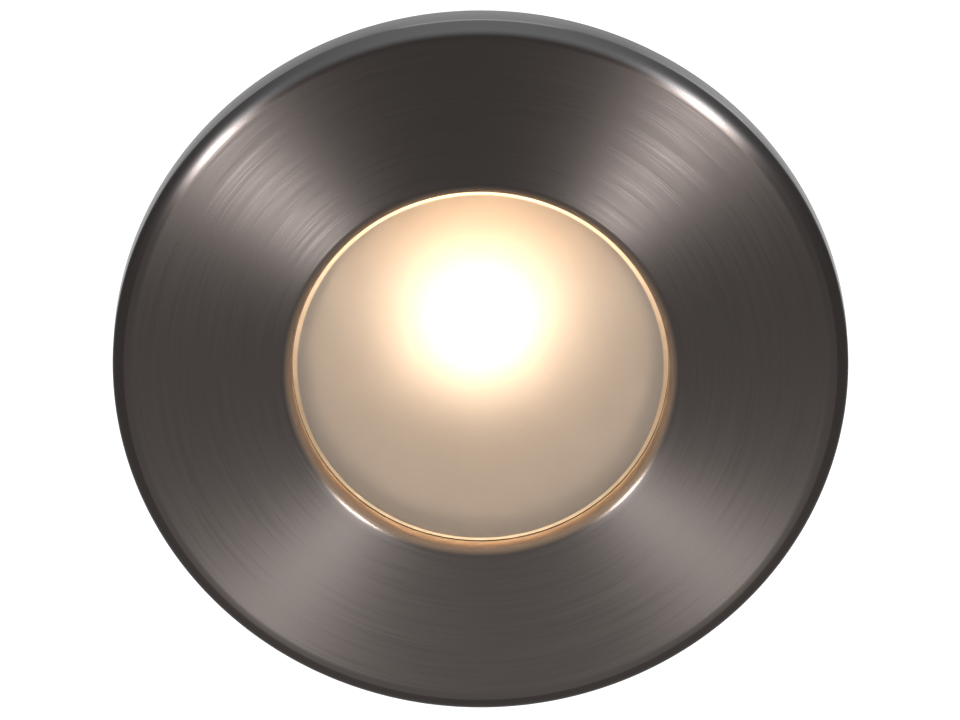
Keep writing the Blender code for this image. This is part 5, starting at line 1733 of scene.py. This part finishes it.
    def spring_path(self) -> np.ndarray:
        """The spring's centre line: fixed leg, coil, then the leg that bears on the leaf.

        The coil's angle falls from a half turn through the turns to the leaf's own direction, while
        it climbs the pin by the pitch a turn. A quarter circle then bends it to run along the leaf.

        Returns:
            The line's points.
        """
        finish = math.atan2(self.along[2], self.along[0])
        sweep = math.pi - finish + TURN * self.turns
        climb = self.pitch * sweep / TURN
        share = np.linspace(0, 1, round(sweep / TURN * self.turn_steps) + 1)
        angle = math.pi - sweep * share
        coil = np.stack([self.coil * np.cos(angle), climb * (share - 0.5), self.coil * np.sin(angle)], axis=1)
        top = climb / 2
        steps = np.linspace(0, 1, self.leg_steps)[:, None]
        foot = np.array((-self.coil, -top, -self.fixed_leg))
        leg = foot + (coil[0] - foot) * steps[:-1]
        centre = self.along * (self.coil + self.bend) + self.outward * (self.coil - self.bend)
        bend = arc((0, 0), self.bend, 0, QUARTER, self.bend_steps)
        corner = centre - self.along * bend[:, :1] + self.outward * bend[:, 1:]
        corner[:, 1] = top
        tip = self.along * (self.coil + self.moving_leg) + self.outward * self.coil
        tip[1] = top
        run = corner[-1] + (tip - corner[-1]) * steps[1:]
        return np.concatenate([leg, coil, corner, run])

    def build(self) -> None:
        """Makes the clip's four pieces."""
        path = self.spring_path()
        wire = Shell.tube(path, self.wire / 2, self.UPWARD)
        made = {}
        for part, shells, finish, slot in (
            ("leaf", self.leaf(), ZINC, "zinc_steel"),
            ("pad", self.pad(), RUBBER, "black_rubber"),
            ("pin", [self.pivot()], ZINC, "zinc_steel"),
            ("spring", [wire], SPRING, "spring_steel"),
        ):
            name = f"{self.side.name.lower()}_{part}"
            node = f"{self.side.name.lower()}_clip_{part}"
            made[part] = add_piece(name, self.seated(shells), finish, [node])
        ride(made["leaf"], self.side.body)
        ride(made["pad"], self.side.body)
        ride(made["pin"], Body.FIXTURE)
        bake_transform(made["spring"])


@dataclass
class RearCover:
    """The rear cover: a plate with a spigot, ribs round a ring, and three screw ears."""

    thickness: float = 3.0 * MM
    spigot: float = 20.6 * MM
    spigot_wall: float = 1.6 * MM
    spigot_length: float = 2.5 * MM
    radius: float = 24.4 * MM
    hole: float = 6.1 * MM
    ring: float = 11.2 * MM
    rib_count: int = 6
    rib_width: float = 1.2 * MM
    rib_height: float = 0.8 * MM
    rib_outer: float = 22.5 * MM
    rib_round: float = 0.98
    ear: float = 3.2 * MM
    ear_inset: float = 0.2 * MM
    soft: float = 0.6 * MM
    boss: float = 3.4 * MM
    boss_height: float = 1.4 * MM

    def plate(self, span: Span, back: float, front: float) -> Shell:
        """The turned plate.

        Args:
            span: Where the CAD's cover lies.
            back: The height of the plate's back.
            front: The height of its front.

        Returns:
            The plate, with a ring behind it and a spigot in front.
        """
        tip = front + self.spigot_length
        inner = self.spigot - self.spigot_wall
        section = fillet(
            [
                (self.hole, front, self.soft / 3),
                (inner, front, self.soft / 2),
                (inner, tip, self.soft / 3),
                (self.spigot, tip, self.soft / 3),
                (self.spigot, front),
                (self.radius, front, self.soft / 3),
                (self.radius, back, self.soft),
                (self.ring, back, self.soft / 2),
                (self.ring, span.back, self.soft / 2),
                (self.hole, span.back, self.soft / 3),
            ]
        )
        return Shell.turned(section)

    def ribs(self, base: float) -> list[Shell]:
        """The ribs, which run out from the ring at even angles.

        Args:
            base: The height of their backs.

        Returns:
            The ribs, each with a round end.
        """
        height = self.rib_height + self.soft
        length = self.rib_outer - self.ring + self.soft
        half = self.rib_width / 2
        corner = half * self.rib_round
        bar = fillet([(0, -half), (length, -half, corner), (length, half, corner), (0, half)])
        rib = Shell.plate(bar, height / 2, self.rib_width / 4)
        placed = rib.placed((self.ring - self.soft, 0, base + height / 2))
        angles = np.arange(self.rib_count) * TURN / self.rib_count
        return [placed.placed(axes=spun_axes(angle)) for angle in angles]

    def build(self) -> None:
        """Makes the cover as one piece, with an ear for each screw and a boss for the ground screw."""
        span = Span.of("rear_cover")
        back = span.back + self.rib_height
        front = back + self.thickness
        high, low = front - self.ear_inset, back + self.ear_inset
        ear = [(0, high), (self.ear, high, self.soft / 3), (self.ear, low, self.soft), (0, low)]
        top, foot = front + self.boss_height, back + self.soft
        boss = [(0, top), (self.boss, top, self.soft / 2), (self.boss, foot), (0, foot)]
        shells = [
            self.plate(span, back, front),
            *self.ribs(span.back),
            *cover_screw_studs(fillet(ear, closed=False)),
            stud(fillet(boss, closed=False), Span.of("ground_screw").middle),
        ]
        ride(add_piece("ribbed_cover", shells, CAST, ["rear_cover"]), Body.FIXTURE)


@dataclass
class CableGland:
    """The cable gland: threaded body, locknut, seal and domed nut."""

    bore: float = 3.5 * MM
    bore_round: float = 0.3 * MM
    thread_radius: float = 5.8 * MM
    pitch: float = 1.5 * MM
    thread_share: float = 0.36
    thread_rows: int = 8
    apothem: float = 7.1 * MM
    corner_share: float = 0.985
    cone_share: float = 0.975
    cone_lean: float = math.radians(60)
    cone_reach: float = 0.16
    cone_rows: int = 10
    hex_thickness: float = 3.2 * MM
    hex_front: float = -48.4 * MM
    socket: float = 5.0 * MM
    socket_depth: float = 4.4 * MM
    locknut_apothem: float = 7.45 * MM
    nut_hex_length: float = 5.0 * MM
    nut_wall: float = 1.8 * MM
    shoulder_share: float = 0.93
    shoulder_step: float = 0.1 * MM
    dome_length: float = 2.6 * MM
    dome_rows: int = 14
    nose_width: float = 1.1 * MM
    seal_edge: float = 0.25 * MM
    steps: int = 144

    @property
    def angles(self) -> np.ndarray:
        """The columns' angles."""
        return np.arange(self.steps) * TURN / self.steps

    def hex_rows(self, apothem: float, low: float, high: float) -> list[tuple[np.ndarray, float]]:
        """Rows of a hexagon whose corners are cut by a cone at both ends.

        The radius is the lesser of the hexagon's own and one that grows from just inside the
        flats by the cone's slope as the row leaves the end.

        Args:
            apothem: Half the width across flats.
            low: The lower end.
            high: The upper end.

        Returns:
            (radii, height) rows from high to low.
        """
        corner = apothem / math.cos(TURN / HEX / 2) * self.corner_share
        full = np.minimum(hexagon(apothem, self.angles), corner)
        near = np.linspace(0, self.cone_reach * apothem, self.cone_rows)
        heights = np.concatenate([high - near, low + near[::-1]])
        inwards = np.minimum(high - heights, heights - low)
        cones = apothem * self.cone_share + inwards * math.tan(self.cone_lean)
        return [(np.minimum(full, cone), z) for cone, z in zip(cones, heights)]

    def threads(self, high: float, low: float) -> list[tuple[np.ndarray, float]]:
        """Rows of the outer thread.

        Args:
            high: The upper end.
            low: The lower end.

        Returns:
            (radii, height) rows from high to low, with the thread's root at both ends.
        """
        depth, ease = self.pitch * self.thread_share, self.pitch / 6
        heights = np.arange(high - ease, low + ease, -self.pitch / self.thread_rows)
        root = self.thread_radius - depth
        rows = thread(self.thread_radius, depth, self.pitch, heights, self.angles)
        return [(root, high), *rows, (root, low)]

    def barrel(self) -> list[tuple]:
        """Rows of the body.

        Returns:
            Threads to either side of a hexagon, a socket for the seal and the bore.
        """
        body = Span.of("gland_body")
        hex_back = self.hex_front - self.hex_thickness
        floor = body.back + self.socket_depth
        return [
            *self.threads(body.front, self.hex_front),
            *self.hex_rows(self.apothem, hex_back, self.hex_front),
            *self.threads(hex_back, body.back),
            (self.socket, body.back),
            (self.socket, floor),
            (self.bore, floor),
            (self.bore, body.front),
        ]

    def cap(self) -> list[tuple]:
        """Rows of the nut.

        Returns:
            A hexagon, a dome whose section is a quarter of an ellipse, and the inside.
        """
        nut = Span.of("gland_nut")
        grip, wall = nut.front - self.nut_hex_length, nut.back + self.nut_wall
        shoulder, nose = self.apothem * self.shoulder_share, self.bore + self.nose_width
        rows = self.hex_rows(self.apothem, grip, nut.front)
        rows += [(shoulder, grip - self.shoulder_step), (shoulder, nut.back + self.dome_length)]
        for angle in np.linspace(0, QUARTER, self.dome_rows):
            height = nut.back + self.dome_length * (1 - math.sin(angle))
            rows.append((nose + (shoulder - nose) * math.cos(angle), height))
        rows += [(self.bore + self.bore_round, nut.back), (self.bore, nut.back + self.bore_round)]
        inner = self.thread_radius + SEAT_GAP
        return [*rows, (self.bore, wall), (inner, wall), (inner, nut.front)]

    def back_nut(self) -> list[tuple]:
        """Rows of the locknut.

        Returns:
            A hexagon and a plain bore.
        """
        lock, inner = Span.of("gland_locknut"), self.thread_radius + SEAT_GAP
        rows = self.hex_rows(self.locknut_apothem, lock.back, lock.front)
        return [*rows, (inner, lock.back), (inner, lock.front)]

    def shell(self, rows: Sequence[tuple]) -> Shell:
        """A closed ring of rows."""
        return Shell.loft([row[0] for row in rows], [row[1] for row in rows], True, self.steps)

    def build(self) -> None:
        """Makes the four pieces."""
        seal = Span.of("gland_seal")
        ring = ring_section(self.bore, seal.radius, seal.back, seal.front, self.seal_edge)
        for name, shell, finish, slot, node in (
            ("gland_barrel", self.shell(self.barrel()), NYLON, "black_plastic", "gland_body"),
            ("gland_cap", self.shell(self.cap()), NYLON, "black_plastic", "gland_nut"),
            ("gland_ring", Shell.turned(ring, steps=SMALL_ROUND_STEPS), RUBBER, "black_rubber", "gland_seal"),
            ("gland_back_nut", self.shell(self.back_nut()), NYLON, "black_plastic", "gland_locknut"),
        ):
            ride(add_piece(name, [shell], finish, [node]), Body.FIXTURE)


@dataclass
class InnerParts:
    """The pieces inside, whose CAD solids are welded, smoothed and finished."""

    pieces: dict[str, tuple[Finish, str]] = field(
        default_factory=lambda: {
            "lens_gasket": (RUBBER, "black_rubber"),
            "lens_seal": (RUBBER, "black_rubber"),
            "rear_seal": (RUBBER, "black_rubber"),
            "thermal_pad": (SILICONE_PAD, "grey_pad"),
            "led_board": (WHITE_BOARD, "white_mask"),
            "led_lead_red": (RED_WIRE, "red_wire"),
            "led_lead_black": (BLACK_WIRE, "black_wire"),
            "driver_insulator": (FIBRE, "fibre"),
            "driver_board": (GREEN_BOARD, "green_mask"),
            "transformer_core": (FERRITE, "ferrite"),
            "transformer_winding": (TAPE, "yellow_tape"),
            "input_capacitor": (SLEEVE, "black_plastic"),
            "output_capacitor": (SLEEVE, "black_plastic"),
            "choke": (COPPER, "copper"),
            "fuse": (FUSE_BODY, "copper"),
            "varistor": (BLUE, "blue_coating"),
            "rectifier": (EPOXY, "black_plastic"),
            "controller_chip": (EPOXY, "black_plastic"),
            "terminal_block": (GREEN_BLOCK, "green_plastic"),
        }
    )

    def build(self) -> None:
        """Makes a welded copy of each solid."""
        for node, (finish, slot) in self.pieces.items():
            shape = bmesh.new()
            shape.from_mesh(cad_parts[node].data)
            bmesh.ops.remove_doubles(shape, verts=shape.verts, dist=WELD)
            mesh = bpy.data.meshes.new(node + "_part")
            shape.to_mesh(mesh)
            shape.free()
            mesh.materials.clear()
            spot = Span.of(node).middle
            own = replace(finish, middle=(spot[0], spot[1])) if isinstance(finish, Wound) else finish
            ride(dress(mesh.name, mesh, own, [node]), Body.FIXTURE)


# Studio


def direction(azimuth: float, elevation: float) -> Vector:
    """The unit vector towards a place at an azimuth from the front and an elevation, in degrees."""
    turn, lift = math.radians(azimuth), math.radians(elevation)
    return Vector((math.sin(turn) * math.cos(lift), -math.cos(turn) * math.cos(lift), math.sin(lift)))


@dataclass(frozen=True)
class Lamp:
    """A lamp that faces the light.

    Attributes:
        azimuth: Degrees to the right of the front.
        elevation: Degrees above the horizon.
        level: How bright it is, where 1 is white.
        size: Its radius or its side.
        distance: Its distance.
    """

    azimuth: float
    elevation: float
    level: float
    size: float
    distance: float

    def hang(self, name: str, lamp: bpy.types.Light) -> None:
        """Puts the lamp in its place, unseen by the camera.

        Args:
            name: The lamp's name.
            lamp: Its data.
        """
        thing = add_object(name, lamp)
        thing.location = direction(self.azimuth, self.elevation) * self.distance
        thing.rotation_euler = (-thing.location).to_track_quat("-Z", "Y").to_euler()
        thing.visible_camera = False


@dataclass(frozen=True)
class Spotlight(Lamp):
    """A round lamp on the light alone. Its level is what a white card at the light sends back.

    Attributes:
        cone: The full angle of its beam, in degrees.
        blend: The share of the beam over which it fades.
    """

    size: float = 0.025
    distance: float = 1.0
    cone: float = 22.0
    blend: float = 0.5

    def build(self, name: str) -> None:
        """Adds the lamp, whose power is the level times pi times the area of the sphere that it fills.

        Args:
            name: The lamp's name.
        """
        lamp = bpy.data.lights.new(name, "SPOT")
        lamp.energy = self.level * math.pi * 4 * math.pi * self.distance**2
        lamp.shadow_soft_size = self.size
        lamp.spot_size = math.radians(self.cone)
        lamp.spot_blend = self.blend
        self.hang(name, lamp)


@dataclass(frozen=True)
class Softbox(Lamp):
    """A square lamp. Its level is how bright it looks."""

    size: float = 0.4
    distance: float = 0.9

    def build(self, name: str) -> None:
        """Adds the lamp, whose power is its level times pi times its area.

        Args:
            name: The lamp's name.
        """
        lamp = bpy.data.lights.new(name, "AREA")
        lamp.shape = "SQUARE"
        lamp.size = self.size
        lamp.energy = self.level * math.pi * self.size**2
        self.hang(name, lamp)


@dataclass
class Studio:
    """Camera, lamps, floor and surroundings."""

    camera_elevation: float = 20.7
    camera_distance: float = 1.6
    sensor_width: float = 36.0
    pixels_per_metre: float = 8265.0
    image_width: float = 960.0
    aim: tuple[float, float, float] = (-0.00006, -0.0026, 0.00036)
    floor_drop: float = 0.3
    floor_size: float = 6.0
    floor_grey: float = 0.8
    floor_roughness: float = 0.9
    ambient: float = 0.35
    lamps: dict[str, Spotlight | Softbox] = field(
        default_factory=lambda: {
            "front_left_lamp": Spotlight(-10.9, -10.8, 0.3),
            "front_right_lamp": Spotlight(9.2, -9.2, 0.3),
            "rear_left_lamp": Softbox(-130, 25, 2.0),
            "rear_right_lamp": Softbox(140, 20, 2.0),
            "rear_top_lamp": Softbox(180, 58, 1.6, size=0.5),
        }
    )

    def add_camera(self) -> None:
        """Looks from above the face's normal, from so far that the view is almost parallel."""
        data = bpy.data.cameras.new("camera")
        data.sensor_width = self.sensor_width
        data.lens = data.sensor_width * self.camera_distance * self.pixels_per_metre / self.image_width
        camera = add_object("camera", data)
        back = direction(0, self.camera_elevation)
        camera.location = Vector(self.aim) + back * self.camera_distance
        camera.rotation_euler = (-back).to_track_quat("-Z", "Y").to_euler()
        bpy.context.scene.camera = camera

    @staticmethod
    def seen_white(tree: ShaderTree) -> Socket:
        """A mask of the rays that show the background: the camera's, and those of metal and glass.

        Args:
            tree: The nodes of the floor.

        Returns:
            1 for such rays and 0 for others.
        """
        paths = [
            tree.node("LightPath", {}, {}, name)
            for name in ("Is Camera Ray", "Is Glossy Ray", "Is Transmission Ray")
        ]
        return tree.math("MAXIMUM", tree.math("MAXIMUM", paths[0], paths[1]), paths[2])

    def add_floor(self) -> None:
        """A pale floor that shows as white but keeps a shadow, and is clear from below."""
        tree = ShaderTree("floor")
        seen = self.seen_white(tree)
        tree.feed(tree.shader, "Base Color", (*[self.floor_grey] * 3, 1))
        tree.feed(tree.shader, "Roughness", self.floor_roughness)
        tree.feed(tree.shader, "Emission Color", WHITE)
        tree.feed(tree.shader, "Emission Strength", seen * self.floor_grey)
        tree.feed(tree.shader, "Alpha", 1 - tree.node("NewGeometry", {}, {}, "Backfacing"))
        bpy.ops.mesh.primitive_grid_add(size=self.floor_size, location=(0, 0, -self.floor_drop))
        floor = bpy.context.object
        floor.name = "floor"
        floor.data.materials.append(tree.material)

    def add_world(self) -> None:
        """White surroundings, and a plainer light for what they shine on."""
        world = bpy.data.worlds.new("world")
        world.use_nodes = True
        bpy.context.scene.world = world
        nodes, links = world.node_tree.nodes, world.node_tree.links
        path = nodes.new("ShaderNodeLightPath")
        mask = path.outputs["Is Camera Ray"]
        for name in ("Is Glossy Ray", "Is Transmission Ray"):
            total = nodes.new("ShaderNodeMath")
            total.operation = "MAXIMUM"
            links.new(mask, total.inputs[0])
            links.new(path.outputs[name], total.inputs[1])
            mask = total.outputs[0]
        mix = nodes.new("ShaderNodeMixShader")
        links.new(mask, mix.inputs[0])
        lights = (nodes.new("ShaderNodeBackground"), self.ambient), (nodes["Background"], 1)
        for (light, strength), target in zip(lights, mix.inputs[1:]):
            light.inputs["Color"].default_value = WHITE
            light.inputs["Strength"].default_value = strength
            links.new(light.outputs[0], target)
        links.new(mix.outputs[0], nodes["World Output"].inputs["Surface"])

    def build(self) -> None:
        """Adds everything that isn't part of the light."""
        self.add_camera()
        for name, lamp in self.lamps.items():
            lamp.build(name)
        self.add_floor()
        self.add_world()
        bpy.context.scene.view_settings.view_transform = "Standard"


def main() -> None:
    """Builds the studio and every sub-assembly."""
    logging.basicConfig(level=logging.INFO, format="%(name)s: %(message)s")
    Studio().build()
    front = [TrimDisc(), Optics(), WallGasket(), Housing()]
    clips = [SpringClip(side) for side in Side]
    for part in (*front, *clips, RearCover(), CableGland(), InnerParts()):
        part.build()
    large, small = Screw(), Screw(shaft=1.0 * MM, head=1.8 * MM, head_height=1.3 * MM, pitch=0.4 * MM)
    for screw, name, count, heads_back in (
        (large, "trim_screw", 3, True),
        (large, "cover_screw", 3, True),
        (small, "led_board_screw", 3, False),
        (small, "driver_screw", 2, True),
    ):
        screw.build([f"{name}_{number + 1}" for number in range(count)], heads_back, ZINC, "zinc_steel")
    replace(large, head=2.8 * MM).build(["ground_screw"], False, GREEN_PAINT, "green_screw")


if __name__ == "__main__":
    main()
